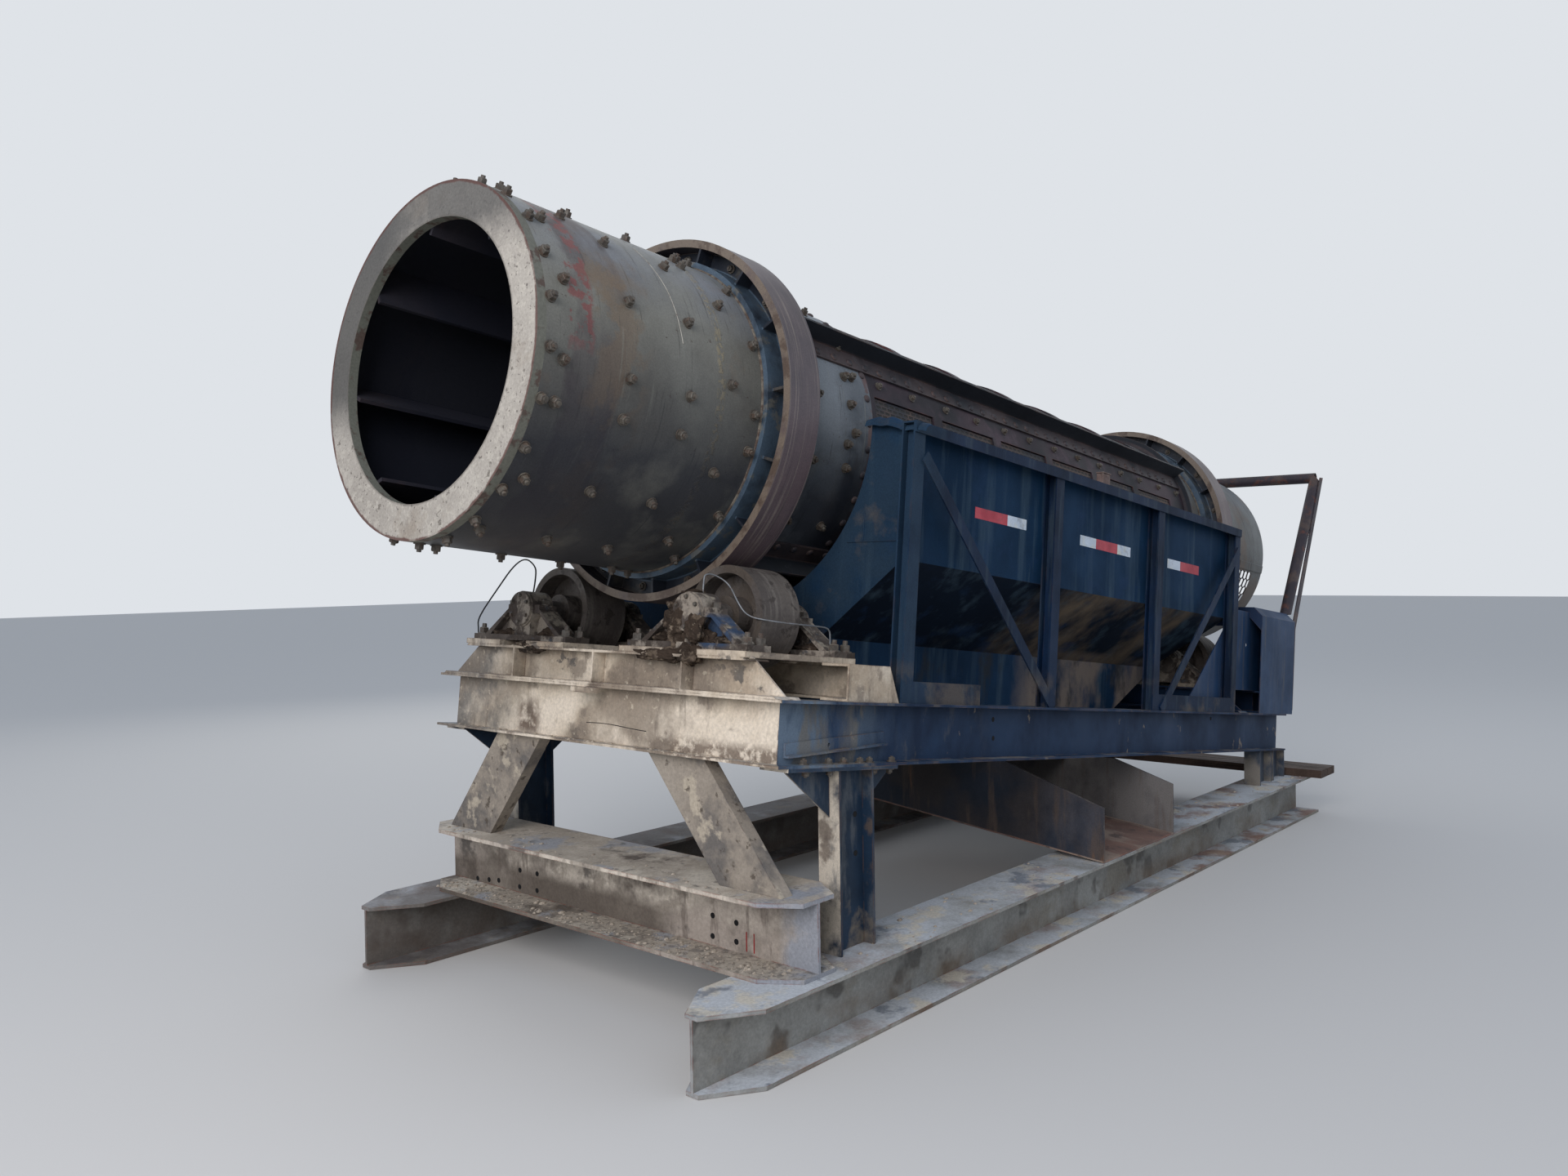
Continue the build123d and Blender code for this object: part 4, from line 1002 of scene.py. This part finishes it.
# %% Tape
# Tape of glass beads in clear plastic: smooth, flat colour with a tight highlight
tape_red = finish("red_reflective_tape", "b02437", "9c1f31", layer("7c2a33", 71.4, (0.58, 0.64), 0.6),
                  clouds=111, rough=0.35, grain=0.1)
tape_white = finish("white_reflective_tape", "c3ccd4", "b3bdc6", layer("8f9498", 62.5, (0.56, 0.64), 0.6),
                    layer("c9c3a6", 200, (0.5, 0.6), 0.6), clouds=111, rough=0.35, grain=0.1)
TINTS = {"red": tape_red, "white": tape_white}
SIDE_V = -1.040
TAPE_THICK = 0.0012
STRIPS = ((0.883, 0.936, (("red", 1.418, 1.716), ("white", 1.716, 1.901))),
          (0.876, 0.932, (("white", 2.481, 2.667), ("red", 2.667, 2.931), ("white", 2.931, 3.101))),
          (0.868, 0.926, (("white", 3.622, 3.812), ("red", 3.812, 4.105))))
for number, (low, high, lengths) in enumerate(STRIPS):
    for tint, film in TINTS.items():
        bm = bmesh.new()
        for colour, start, end in lengths:
            if colour == tint:
                sheet = bmesh.ops.create_cube(bm, size=1)["verts"]
                bmesh.ops.scale(bm, vec=(end - start, TAPE_THICK, high - low), verts=sheet)
                middle = ((start + end) / 2, SIDE_V - TAPE_THICK / 3, (low + high) / 2)
                bmesh.ops.translate(bm, vec=middle, verts=sheet)
        bmesh.ops.transform(bm, matrix=DECK, verts=bm.verts[:])
        piece(f"tape_{tint}_{number}", bm, "frame", film)

# %% [markdown]
# ## Bolts of the bearings
# Each roller turns in two pillow blocks. A block has a foot bolted down at four corners, a cap held by two
# square heads, and a round cover with six screws. The patterns above serve again, with a smaller one for
# the screws and a square one for the cap.

# %% Bearing bolts
cover_screw = bolt_pattern("cover_screw", 0.015, 0.009, washer=1.3)
cap_bolt = bolt_pattern("cap_bolt", 0.030, 0.022, sides=4, washer=1.35)
BLOCK_U, ROLLER_V, SHAFT_W = 0.275, 0.5591, 0.3282
PAD_TOP, CAP_TOP, COVER_FACE = 0.204, 0.348, 0.074
R_SCREWS = 0.062
feet, caps, screws = [], [], []
for middle, way, side in [(ring, way, side) for ring in RINGS for way in (-1, 1) for side in (-1, 1)]:
    u, v = middle + way * BLOCK_U, side * ROLLER_V
    for du in (-0.038, 0.038):
        for dv in (-0.318, 0.318):
            feet.append(on_deck(u + du, v + dv, PAD_TOP) @ spin())
    for dv in (-0.101, 0.101):
        caps.append(on_deck(u, v + dv, CAP_TOP) @ spin())
    outward = Matrix.Rotation(math.radians(90 * way), 4, "Y")
    for k in range(6):
        turn = math.radians(60 * k + 30)
        spot = on_deck(u + way * COVER_FACE, v + R_SCREWS * math.cos(turn),
                       SHAFT_W + R_SCREWS * math.sin(turn))
        screws.append(spot @ outward @ spin())
piece("bearing_foot_bolts", copies(block_nut, feet), "frame", bolt_steel)
piece("bearing_cap_bolts", copies(cap_bolt, caps), "frame", bolt_steel)
piece("bearing_cover_screws", copies(cover_screw, screws), "frame", bolt_steel)

# %% [markdown]
# ## Bolts of the front legs
# A cap plate on each front leg is bolted to the lower flange of the deck beam. Nuts show on top of the
# flange and bolt heads under it, and their spacing is uneven, as measured.

# %% Leg bolts
FLANGE_TOP, CAP_UNDERSIDE = -0.248, -0.274
upside_down = Matrix.Rotation(math.pi, 4, "X")
flange = []
for side in (-1, 1):
    for u in (0.189, 0.343, 0.44, 0.55, 0.614, 0.771):
        flange.append(on_deck(u, side * 1.094, FLANGE_TOP) @ spin())
    for u in (0.197, 0.347, 0.64, 0.749):
        flange.append(on_deck(u, side * 1.10, CAP_UNDERSIDE) @ upside_down @ spin())
piece("leg_cap_bolts", copies(small_nut, flange), "frame", bolt_steel)

# %% [markdown]
# ## Lines of weld, pipe and scratch
# A weld, a grease pipe and a deep scratch are all a round line through some points. A curve with a round
# section draws each of them, and is simpler to bend than a mesh. On the drum the points lie on the shell,
# a few degrees apart, so that the line keeps to it.

# %% A bead through points


def bead(name, body, slot, material, radius, *lines, smooth=4):
    """Draws one or more round lines through world points."""
    curve = bpy.data.curves.new(name, "CURVE")
    curve.dimensions = "3D"
    curve.bevel_depth = radius
    curve.bevel_resolution = 1
    curve.resolution_u = 4
    curve.use_fill_caps = True
    for points in lines:
        spline = curve.splines.new("NURBS")
        spline.points.add(len(points) - 1)
        for knot, point in zip(spline.points, points):
            knot.co = (*point, 1.0)
        spline.use_endpoint_u = True
        spline.order_u = min(smooth, len(points))
    made = bpy.data.objects.new(name, curve)
    bpy.context.collection.objects.link(made)
    curve.materials.append(material)
    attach(made, body)
    print(name, len(lines), "lines on", body)
    return made


def deck_line(*points):
    """Points given in the deck's directions."""
    return [DECK @ Vector(point) for point in points]


def shell_line(radius, *knots):
    """Points on the drum between knots of (u, angle), about three degrees apart."""
    found = []
    for (u0, a0), (u1, a1) in zip(knots, knots[1:]):
        steps = max(1, round(abs(a1 - a0) / 3))
        found += [on_shell(u0 + (u1 - u0) * k / steps, a0 + (a1 - a0) * k / steps, radius).translation
                  for k in range(steps)]
    return found + [on_shell(*knots[-1], radius).translation]


print("three degrees apart on the shell is", round(R_SHELL * math.radians(3), 3), "m")

# %% [markdown]
# ## Grease pipes
# A thin steel pipe leads grease from the edge of the frame to each front bearing. Both are bent by hand,
# so their points were measured one by one and the curve is kept loose. They are fixed at both ends.

# %% Grease pipes
R_PIPE = 0.0038
# Drawn steel tube: a thin bright line under specks of rust
pipe_steel = finish("grey_pipe", "7d7f80", "686a6c", layer("5b4a3c", 33.3, (0.56, 0.64), 0.7), clouds=71.4,
                    rough=0.45, metal=0.4)
# Painted tube: black and dull
pipe_black = finish("black_pipe", "1d1f22", "26282b", layer("5b5045", 41.7, (0.56, 0.64), 0.6), clouds=71.4,
                    rough=0.5)
near_pipe = deck_line(
    (0.115, -0.56, 0.412), (0.115, -0.56, 0.467), (0.120, -0.56, 0.493), (0.167, -0.57, 0.495),
    (0.209, -0.62, 0.459), (0.202, -0.68, 0.379), (0.222, -0.72, 0.324), (0.265, -0.80, 0.311),
    (0.387, -0.83, 0.306), (0.542, -0.83, 0.307), (0.629, -0.83, 0.304), (0.640, -0.83, 0.260),
    (0.640, -0.83, 0.207))
far_pipe = deck_line(
    (0.098, 0.559, 0.412), (0.098, 0.545, 0.500), (0.098, 0.565, 0.541), (0.098, 0.642, 0.578),
    (0.098, 0.734, 0.537), (0.098, 0.842, 0.431), (0.098, 0.953, 0.322), (0.098, 0.992, 0.267),
    (0.098, 0.981, 0.233), (0.098, 0.975, 0.180))
bead("grease_pipe_near", "frame", "bearing_iron", pipe_steel, R_PIPE, near_pipe, smooth=3)
bead("grease_pipe_far", "frame", "bearing_iron", pipe_black, R_PIPE, far_pipe, smooth=3)

# %% [markdown]
# ## Scratch and cracks
# Something hard dragged along the shell left a bright gouge. The face of the feed ring is cracked across
# in four places, and so is the crust on the front beam. A bump could draw these, but a thin bead keeps its
# sharp edge at any size of picture.

# %% Scratch and cracks
R_CRACK = 0.0018
# Steel scraped bare: paler than all round it, with a weak metal sheen
pale_steel = finish("scraped_steel", "9a958a", "857f75", layer("5a4a3e", 25, (0.54, 0.62), 0.7), clouds=50,
                    rough=0.5, metal=0.3)
# Painted shade in a crack: nearly black, with no sheen
dark_line = finish("dark_crack", "1b1a1a", "262321", layer("40352d", 33.3, (0.56, 0.62), 0.6), clouds=50,
                   rough=0.8)
bead("shell_gouge", "drum", "drum_paint", pale_steel, 0.0022,
     shell_line(R_SHELL, (-0.271, 53), (-0.229, 31), (-0.209, 12)))
cracks = []
for angle in (172, -6.4, -115, -14):
    way = Vector((0, -math.cos(math.radians(angle)), math.sin(math.radians(angle))))
    cracks.append([DRUM @ (Vector((FEED_END, 0, 0)) + way * r) for r in (0.572, 0.60, 0.63, 0.66, 0.69)])
bead("ring_cracks", "drum", "feed_ring_steel", dark_line, R_CRACK, *cracks)
bead("front_beam_crack", "frame", "deck_mud", dark_line, R_CRACK,
     deck_line((0, -0.011, -0.165), (0, -0.10, -0.160), (0, -0.206, -0.162),
               (0, -0.30, -0.171), (0, -0.393, -0.174)))

# %% [markdown]
# ## Seams of the hopper's front plate
# The front plate is pieced together from sheets, and two welded seams show under the paint. Painted welds
# are the same bead in the hopper's own finish.

# %% Plate welds
PLATE_U, R_SEAM = 0.85, 0.004
bead("hopper_plate_welds", "frame", "hopper_paint", hopper_paint, R_SEAM,
     deck_line((PLATE_U, -0.727, 0.708), (PLATE_U, -1.038, 0.708)),
     deck_line((PLATE_U, -0.818, 0.713), (PLATE_U, -0.818, 0.839)))

# %% [markdown]
# ## Hub welds
# The hub rings of the riding rings are welded round the shell by hand, so the bead is thick and uneven. A
# small circle spun right round the drum gives the bead, and noise makes it lumpy.

# %% Weld rings
# Weld metal left bare: lumpy, brown and matt
weld_metal = finish("rusty_weld", "6d6558", "50473f",
                    layer("46362c", 33.3, (0.5, 0.6), 0.8, None, (), thick=0.8),
                    clouds=50, rough=0.7, grain=1.0)
R_BEAD = 0.007
bm = bmesh.new()
for u, radius in ((0.252, 0.704), (0.494, 0.704), (4.998, 0.693), (5.240, 0.693)):
    loop = bmesh.ops.create_circle(bm, segments=8, radius=R_BEAD)["verts"]
    bmesh.ops.rotate(bm, cent=(0, 0, 0), matrix=Matrix.Rotation(math.pi / 2, 3, "X"), verts=loop)
    bmesh.ops.translate(bm, vec=(u, 0, radius), verts=loop)
    rim = list({e for v in loop for e in v.link_edges})
    bmesh.ops.spin(bm, geom=loop + rim, cent=(0, 0, 0), axis=(1, 0, 0), angle=2 * math.pi, steps=120,
                   use_merge=True, use_duplicate=False)
for vert in bm.verts:
    vert.co *= 1 + 0.0022 * noise.noise(vert.co * 24)
bmesh.ops.remove_doubles(bm, verts=bm.verts[:], dist=0.0001)
bmesh.ops.recalc_face_normals(bm, faces=bm.faces[:])
bmesh.ops.transform(bm, matrix=DRUM, verts=bm.verts[:])
piece("hub_welds", bm, "drum", weld_metal)

# %% [markdown]
# ## Bolt holes
# The webs of the beams carry empty bolt holes. Each could be cut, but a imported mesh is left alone, so it
# is a thin dark disc let into the web, true to scale.

# %% Holes
R_HOLE = 0.012
hole_disc = bmesh.new()
bmesh.ops.create_cone(hole_disc, cap_ends=True, segments=18, radius1=R_HOLE, radius2=R_HOLE, depth=0.0016)
hole_mesh = bpy.data.meshes.new("hole_disc")
hole_disc.to_mesh(hole_mesh)
hole_disc.free()
# The shade inside a hole: black and matt
hole_black = finish("empty_bolt_hole", "0a0a0b", "131213", clouds=25, rough=0.9)
BEAM_WEB = SHIFT + 0.108
holes = [Matrix.Translation((BEAM_WEB, y, z)) @ to_front for y, z in (
    (1.005, 0.322), (0.909, 0.331), (0.829, 0.340), (0.656, 0.417), (0.661, 0.336), (0.523, 0.420),
    (0.526, 0.340), (-0.640, 0.432), (-0.638, 0.347), (-0.773, 0.426), (-0.772, 0.349))]
holes += [Matrix.Translation((SHIFT + x, -1.09, z)) @ to_near for x, z in ((0.487, 0.843), (0.488, 0.683))]
holes += [on_deck(u, -1.060, w) @ to_near for u, w in ((1.635, -0.067), (1.644, -0.157), (4.341, -0.045))]
piece("web_holes", copies(hole_mesh, holes), "frame", hole_black)

# %% [markdown]
# ## Paint marks
# The lower beam is marked with two short upright strokes of red paint beside its holes. Each is a thin
# slip, because a mask for two strokes would weigh on the whole beam's finish.

# %% Red strokes
# Spray paint under dust: flat red
red_mark = finish("red_marking_paint", "8c2a26", "7a2422", layer("6d5f52", 33.3, (0.56, 0.64), 0.7),
                  clouds=50)
bm = bmesh.new()
for y in (-0.828, -0.869):
    stroke = bmesh.ops.create_cube(bm, size=1)["verts"]
    bmesh.ops.scale(bm, vec=(0.0012, 0.006, 0.079), verts=stroke)
    bmesh.ops.translate(bm, vec=(BEAM_WEB, y, 0.36), verts=stroke)
piece("red_marks", bm, "frame", red_mark)

# %% [markdown]
# ## Earth on the ledges
# Dark earth lies heaped round the front bearings. A heap is a ball that noise pushes in and out, pressed
# flat and half sunk in what it lies on. Three such balls, each turned and sized anew at every place, are
# enough that no two heaps look alike.

# %% Clods


def clod(name, seed, fineness):
    """A ball of earth, pushed in and out by noise."""
    bm = bmesh.new()
    bmesh.ops.create_uvsphere(bm, u_segments=fineness, v_segments=round(fineness * 0.7), radius=1)
    for vert in bm.verts:
        lump = noise.noise(vert.co * 1.6 + Vector((seed, 0, 0)))
        lump += 0.5 * noise.noise(vert.co * 4.3 + Vector((0, seed, 0)))
        vert.co *= 1 + 0.45 * lump
    mesh = bpy.data.meshes.new(name)
    bm.to_mesh(mesh)
    bm.free()
    return mesh


def sized(place, along_u, across, tall):
    """Scales a pattern at its place and turns it a little."""
    turn = Matrix.Rotation(random.uniform(-0.5, 0.5), 4, "Z")
    return place @ turn @ Matrix.Diagonal((along_u, across, tall, 1))


# Damp earth: dark, rough, no shine
dark_earth = finish("dark_earth", "3f342b", "2c251f",
                    layer("6d5f50", 62.5, (0.54, 0.62), 0.7, None, (), thick=1.5),
                    layer("8a7b69", 33.3, (0.6, 0.66), 0.6), clouds=125, rough=0.95, grain=2.0, pores=16.7,
                    shine=0.1)
clods = [clod(f"clod_{k}", 3.1 * k, 36) for k in range(3)]
print("clods of", len(clods[0].polygons), "faces")

# %% [markdown]
# ## Heaps round the bearings
# Each heap has a place in the deck's directions and three half sizes. They are measured for the near front
# block, which carries the largest, and guessed for the rest.

# %% Heaps
heaps = [
    (0.020, -0.47, 0.150, 0.035, 0.09, 0.030), (0.024, -0.34, 0.150, 0.034, 0.07, 0.026),
    (0.040, -0.60, 0.255, 0.036, 0.085, 0.065), (0.046, -0.50, 0.290, 0.036, 0.060, 0.070),
    (0.075, -0.47, 0.345, 0.050, 0.045, 0.045),
    (0.035, -0.58, 0.152, 0.045, 0.09, 0.045), (0.100, -0.73, 0.204, 0.060, 0.075, 0.035),
    (0.100, -0.40, 0.204, 0.060, 0.070, 0.040), (0.060, -0.63, 0.210, 0.035, 0.055, 0.050),
    (0.062, -0.50, 0.210, 0.032, 0.050, 0.045), (0.098, -0.53, 0.405, 0.045, 0.050, 0.020),
    (0.160, -0.66, 0.204, 0.040, 0.050, 0.040), (0.640, -0.72, 0.204, 0.050, 0.070, 0.030),
    (0.660, -0.42, 0.204, 0.050, 0.070, 0.032), (0.100, 0.40, 0.204, 0.055, 0.070, 0.036),
    (0.100, 0.72, 0.204, 0.055, 0.075, 0.032), (0.030, 0.46, 0.152, 0.040, 0.100, 0.030),
    (0.650, 0.42, 0.204, 0.050, 0.060, 0.030), (0.650, 0.70, 0.204, 0.050, 0.070, 0.028),
    (4.845, -0.42, 0.204, 0.050, 0.060, 0.026), (5.395, 0.43, 0.204, 0.050, 0.060, 0.026)]
for part in range(3):
    spots = [sized(on_deck(u, v, w), a, b, c) for u, v, w, a, b, c in heaps[part::3]]
    piece(f"earth_heaps_{part}", copies(clods[part], spots), "frame", dark_earth)

# %% [markdown]
# ## Crumbs on the ledges
# Dry crumbs lie along every ledge. They are strewn at random from a fixed seed, small ones more often than
# large ones, and each is the same ball with few faces, because there are hundreds.

# %% Crumbs
# Dry silt: pale, rough, no shine
pale_earth = finish("pale_earth", "b0a391", "978b7b",
                    layer("7d7062", 50, (0.54, 0.64), 0.6, None, (), thick=0.8),
                    clouds=125, rough=0.95, grain=1.6, pores=16.7, shine=0.1)
crumb = clod("crumb", 11.0, 7)


def strew(place, count, low, high, smallest, largest):
    """Random crumbs over a ledge that runs from low to high."""
    spots = []
    for _ in range(count):
        spot = Matrix.Translation([random.uniform(a, b) for a, b in zip(low, high)])
        size = smallest + (largest - smallest) * random.random() ** 3
        spots.append(sized(place @ spot, size * random.uniform(0.8, 1.6), size, size * 0.6))
    return spots


beam_low, beam_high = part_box("lower_cross_beam")
skid_low, skid_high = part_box("skid_near")
level = Matrix.Identity(4)
BASE_TOP = 0.153
BEAM_LEDGE = 0.309
front = beam_low[0]
crumbs = strew(DECK, 110, (0.004, -1.02, FLANGE_TOP), (0.060, 1.02, FLANGE_TOP), 0.003, 0.013)
crumbs += strew(DECK, 60, (0.006, -0.98, BASE_TOP), (0.024, 0.98, BASE_TOP), 0.003, 0.012)
crumbs += strew(DECK, 50, (0.50, -0.95, BASE_TOP), (0.56, 0.95, BASE_TOP), 0.004, 0.014)
crumbs += strew(level, 230, (front + 0.006, -1.1, BEAM_LEDGE), (front + 0.150, 1.1, BEAM_LEDGE), 0.003, 0.013)
crumbs += strew(level, 60, (front + 0.01, -1.1, beam_high[2]), (front + 0.14, 1.1, beam_high[2]),
                0.003, 0.010)
piece("ledge_crumbs", copies(crumb, crumbs), "frame", pale_earth)
stones = strew(level, 150, (skid_low[0] + 0.5, skid_low[1] + 0.01, skid_high[2]),
               (skid_high[0] - 0.1, skid_high[1] - 0.01, skid_high[2]), 0.003, 0.014)
piece("skid_crumbs", copies(crumb, stones), "frame", pale_earth)

# %% [markdown]
# ## The torn lip
# A torn lip of sheet hangs wavy over the front plate's top edge. It is a grid whose rows bend over the
# edge and whose columns wave, and Solidify gives it a thickness. A cloth simulation would fold it too
# softly for steel.

# %% Torn lip
bm = bmesh.new()
bmesh.ops.create_grid(bm, x_segments=5, y_segments=36, size=0.5)
for vert in bm.verts:
    out, run = vert.co.x + 0.5, vert.co.y + 0.5
    wave = 0.022 * max(0.0, math.sin(math.pi * run / 0.58))
    wave -= 0.010 * max(0.0, math.sin(math.pi * (run - 0.56) / 0.2))
    vert.co = Vector((0.852 - 0.045 * math.sin(out * 1.4), -0.826 - 0.334 * run,
                      1.262 - 0.047 * run + wave * (1 - 0.4 * out) - 0.035 * out * out))
bmesh.ops.solidify(bm, geom=bm.faces[:], thickness=0.004)
bmesh.ops.recalc_face_normals(bm, faces=bm.faces[:])
bmesh.ops.transform(bm, matrix=DECK, verts=bm.verts[:])
piece("torn_lip", bm, "frame", hopper_paint)

# %% [markdown]
# ## The rusty box
# A small box with a lid that stands a little proud sits on the hopper's top rail. Two cubes with bevelled
# edges make it.

# %% Rusty box
# Thin sheet, rusted through its paint: matt and brown, pale along the edges
box_rust = finish("rusty_box", "75625a", "5f4d46", layer("4a3a34", 111, (0.52, 0.6), 0.7),
                  layer("9a8b80", 83.3, (0.5, 0.6), 0.7, "edge"), clouds=125, rough=0.7)
bm = bmesh.new()
BOX = ((0.085, 0.040, 0.070), (2.70, -1.052, 1.262))
LID = ((0.094, 0.048, 0.006), (2.70, -1.053, 1.300))
for size, spot in (BOX, LID):
    block = bmesh.ops.create_cube(bm, size=1)["verts"]
    bmesh.ops.scale(bm, vec=size, verts=block)
    bmesh.ops.translate(bm, vec=spot, verts=block)
bmesh.ops.bevel(bm, geom=bm.edges[:], offset=0.002, offset_type="OFFSET", affect="EDGES", segments=1,
                profile=0.5, material=-1)
bmesh.ops.transform(bm, matrix=DECK, verts=bm.verts[:])
piece("rusty_box", bm, "frame", box_rust)

# %% [markdown]
# ## The open mesh at the discharge
# The low near side of the discharge shell is open and closed with heavy hexagonal steel mesh. The packed
# model has a plain sheet there. Six sided faces side by side, turned into wires by the wireframe operator
# and bent round the drum, replace it.

# %% Discharge mesh
R_MESH = 0.676
HEX_SIDE = 0.041
HEX_ROWS, HEX_COLUMNS = 8, 9
WIRE = 0.011
MESH_START, MESH_LOW = 5.44, math.radians(-51)
bm = bmesh.new()
for row in range(HEX_ROWS):
    for column in range(HEX_COLUMNS):
        cell = bmesh.ops.create_circle(bm, cap_ends=True, segments=6, radius=HEX_SIDE)["verts"]
        across = (column + 0.5 * (row % 2)) * HEX_SIDE * math.sqrt(3)
        bmesh.ops.translate(bm, vec=(across, row * HEX_SIDE * 1.5, 0), verts=cell)
bmesh.ops.remove_doubles(bm, verts=bm.verts[:], dist=0.002)
print("cells", len(bm.faces))
bmesh.ops.wireframe(bm, faces=bm.faces[:], thickness=WIRE, use_replace=True, use_boundary=True,
                    use_even_offset=True)
for vert in bm.verts:
    angle = MESH_LOW + vert.co.y / R_MESH
    reach = R_MESH + vert.co.z
    vert.co = Vector((MESH_START + vert.co.x, -reach * math.cos(angle), reach * math.sin(angle)))
bmesh.ops.transform(bm, matrix=DRUM, verts=bm.verts[:])
open_mesh = piece("discharge_hex_mesh", bm, "drum", hoop_rust)
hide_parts("discharge_mesh")

# %% [markdown]
# ## Band and strap at the opening
# The opening stops short of the drum's end at a band of plate, and a flat bar is welded along its upper
# edge. The band is a grid bent round the drum and given a thickness. The bar is a cube with bevelled
# edges.

# %% Band and strap
R_BAND, BAND_MIDDLE, BAND_WIDTH = 0.688, 6.122, 0.144
bm = bmesh.new()
bmesh.ops.create_grid(bm, x_segments=2, y_segments=14, size=0.5)
for vert in bm.verts:
    angle = math.radians(-32.5 + 41 * vert.co.y)
    along_drum = BAND_MIDDLE + BAND_WIDTH * vert.co.x
    vert.co = Vector((along_drum, -R_BAND * math.cos(angle), R_BAND * math.sin(angle)))
bmesh.ops.solidify(bm, geom=bm.faces[:], thickness=0.006)
bmesh.ops.recalc_face_normals(bm, faces=bm.faces[:])
bmesh.ops.transform(bm, matrix=DRUM, verts=bm.verts[:])
piece("discharge_end_band", bm, "drum", discharge_paint)
bm = bmesh.new()
strap = bmesh.ops.create_cube(bm, size=1)["verts"]
bmesh.ops.scale(bm, vec=(0.475, 0.060, 0.008), verts=strap)
bmesh.ops.transform(bm, matrix=on_shell(6.008, -8.5, 0.692), verts=strap)
bmesh.ops.bevel(bm, geom=bm.edges[:], offset=0.002, offset_type="OFFSET", affect="EDGES", segments=1,
                profile=0.5, material=-1)
piece("discharge_strap", bm, "drum", discharge_paint)

# %% [markdown]
# ## The floor
# The stage is plain: a wide pale floor just under the skids, which shows the object's weight by its shadow
# and nothing else.

# %% Floor
stage_bm = bmesh.new()
bmesh.ops.create_grid(stage_bm, x_segments=1, y_segments=1, size=60)
bmesh.ops.translate(stage_bm, vec=(0, 0, -0.002), verts=stage_bm.verts[:])
stage_mesh = bpy.data.meshes.new("pale_floor")
stage_bm.to_mesh(stage_mesh)
stage_bm.free()
stage_floor = bpy.data.objects.new("pale_floor", stage_mesh)
bpy.context.collection.objects.link(stage_floor)
# Matt paper: no highlight, a little warm against the cool sky
floor_paper = bpy.data.materials.new("pale_floor")
floor_paper.use_nodes = True
floor_paper.node_tree.nodes["Principled BSDF"].inputs["Base Color"].default_value = srgb("d0cbc2")
floor_paper.node_tree.nodes["Principled BSDF"].inputs["Roughness"].default_value = 0.9
stage_mesh.materials.append(floor_paper)
print("floor", stage_floor.dimensions[:])

# %% [markdown]
# ## The sky
# Soft daylight comes from all round and is a little blue. The Light Path node lets the camera and the
# reflections see a plain pale surround instead, so that the background stays plain whatever the light
# does.

# %% Sky
world = bpy.data.worlds.new("soft_sky")
bpy.context.scene.world = world
world.use_nodes = True
sky = world.node_tree
sky.nodes.clear()
rays = add(sky, "LightPath").outputs
seen = rays["Is Camera Ray"]
for kind in ("Is Glossy Ray", "Is Transmission Ray"):
    seen = add(sky, "Math", {0: seen, 1: rays[kind]}, operation="MAXIMUM").outputs[0]
soft = add(sky, "Background", {"Color": srgb("d0dff8"), "Strength": 0.68}).outputs[0]
plain = add(sky, "Background", {"Color": srgb("dfe3e8"), "Strength": 1.0}).outputs[0]
both = add(sky, "MixShader", {0: seen, 1: soft, 2: plain}).outputs[0]
add(sky, "OutputWorld", {0: both})
print("sky nodes", len(sky.nodes))

# %% [markdown]
# ## Lamps
# A large soft key stands at the front left, because the real faces that look that way are the brightest.
# A weak fill lights the near side, and a third lamp keeps the far side from going black when the object
# is turned.

# %% Lamps


def lamp(name, power, size, place, target, colour="ffffff"):
    """A square soft lamp that looks at a point."""
    light = bpy.data.lights.new(name, "AREA")
    light.energy = power
    light.size = size
    light.color = srgb(colour)[:3]
    holder = bpy.data.objects.new(name, light)
    holder.location = place
    holder.rotation_euler = (Vector(target) - Vector(place)).to_track_quat("-Z", "Y").to_euler()
    bpy.context.collection.objects.link(holder)


lamp("key", 1060, 7.0, (-12.0, -4.5, 6.5), (-0.5, 0, 1.4), "f8f8ff")
lamp("fill", 110, 9.0, (7.5, -9.0, 5.0), (0.5, 0, 1.2), "e4eeff")
lamp("back", 170, 7.0, (3.0, 9.0, 7.0), (0, 0, 1.5))
bpy.context.scene.view_settings.view_transform = "Standard"
print("lamps", [light.name for light in bpy.data.lights])

# %% [markdown]
# ## The camera
# The camera stands where the photo was taken from. Its place, its turn and its focal length were solved
# together from points of the frame in the photo, so that render and photo can be laid over each other.

# %% Camera
YAW, PITCH, ROLL = math.radians(41.03), math.radians(-0.973), math.radians(-0.793)
EYE = Vector((-3.3867 + SHIFT, -4.0935, 1.8545))
FOCAL_PX, PHOTO_PX, SENSOR_MM = 1470.6, 1920, 36
forward = Vector((math.cos(YAW) * math.cos(PITCH), math.sin(YAW) * math.cos(PITCH), math.sin(PITCH)))
right = Vector((math.sin(YAW), -math.cos(YAW), 0))
upward = right.cross(forward)
right, upward = (right * math.cos(ROLL) + upward * math.sin(ROLL),
                 upward * math.cos(ROLL) - right * math.sin(ROLL))
lens = bpy.data.cameras.new("camera")
lens.sensor_width = SENSOR_MM
lens.lens = FOCAL_PX / PHOTO_PX * SENSOR_MM
eye = bpy.data.objects.new("camera", lens)
turn = Matrix((right, upward, -forward)).transposed().to_4x4()
eye.matrix_world = Matrix.Translation(EYE) @ turn
bpy.context.collection.objects.link(eye)
bpy.context.scene.camera = eye
print("lens", round(lens.lens, 2))

# %% [markdown]
# ## Finish
# The view layer is updated, so that every piece stands where it was placed.

# %% Finish
bpy.context.view_layer.update()
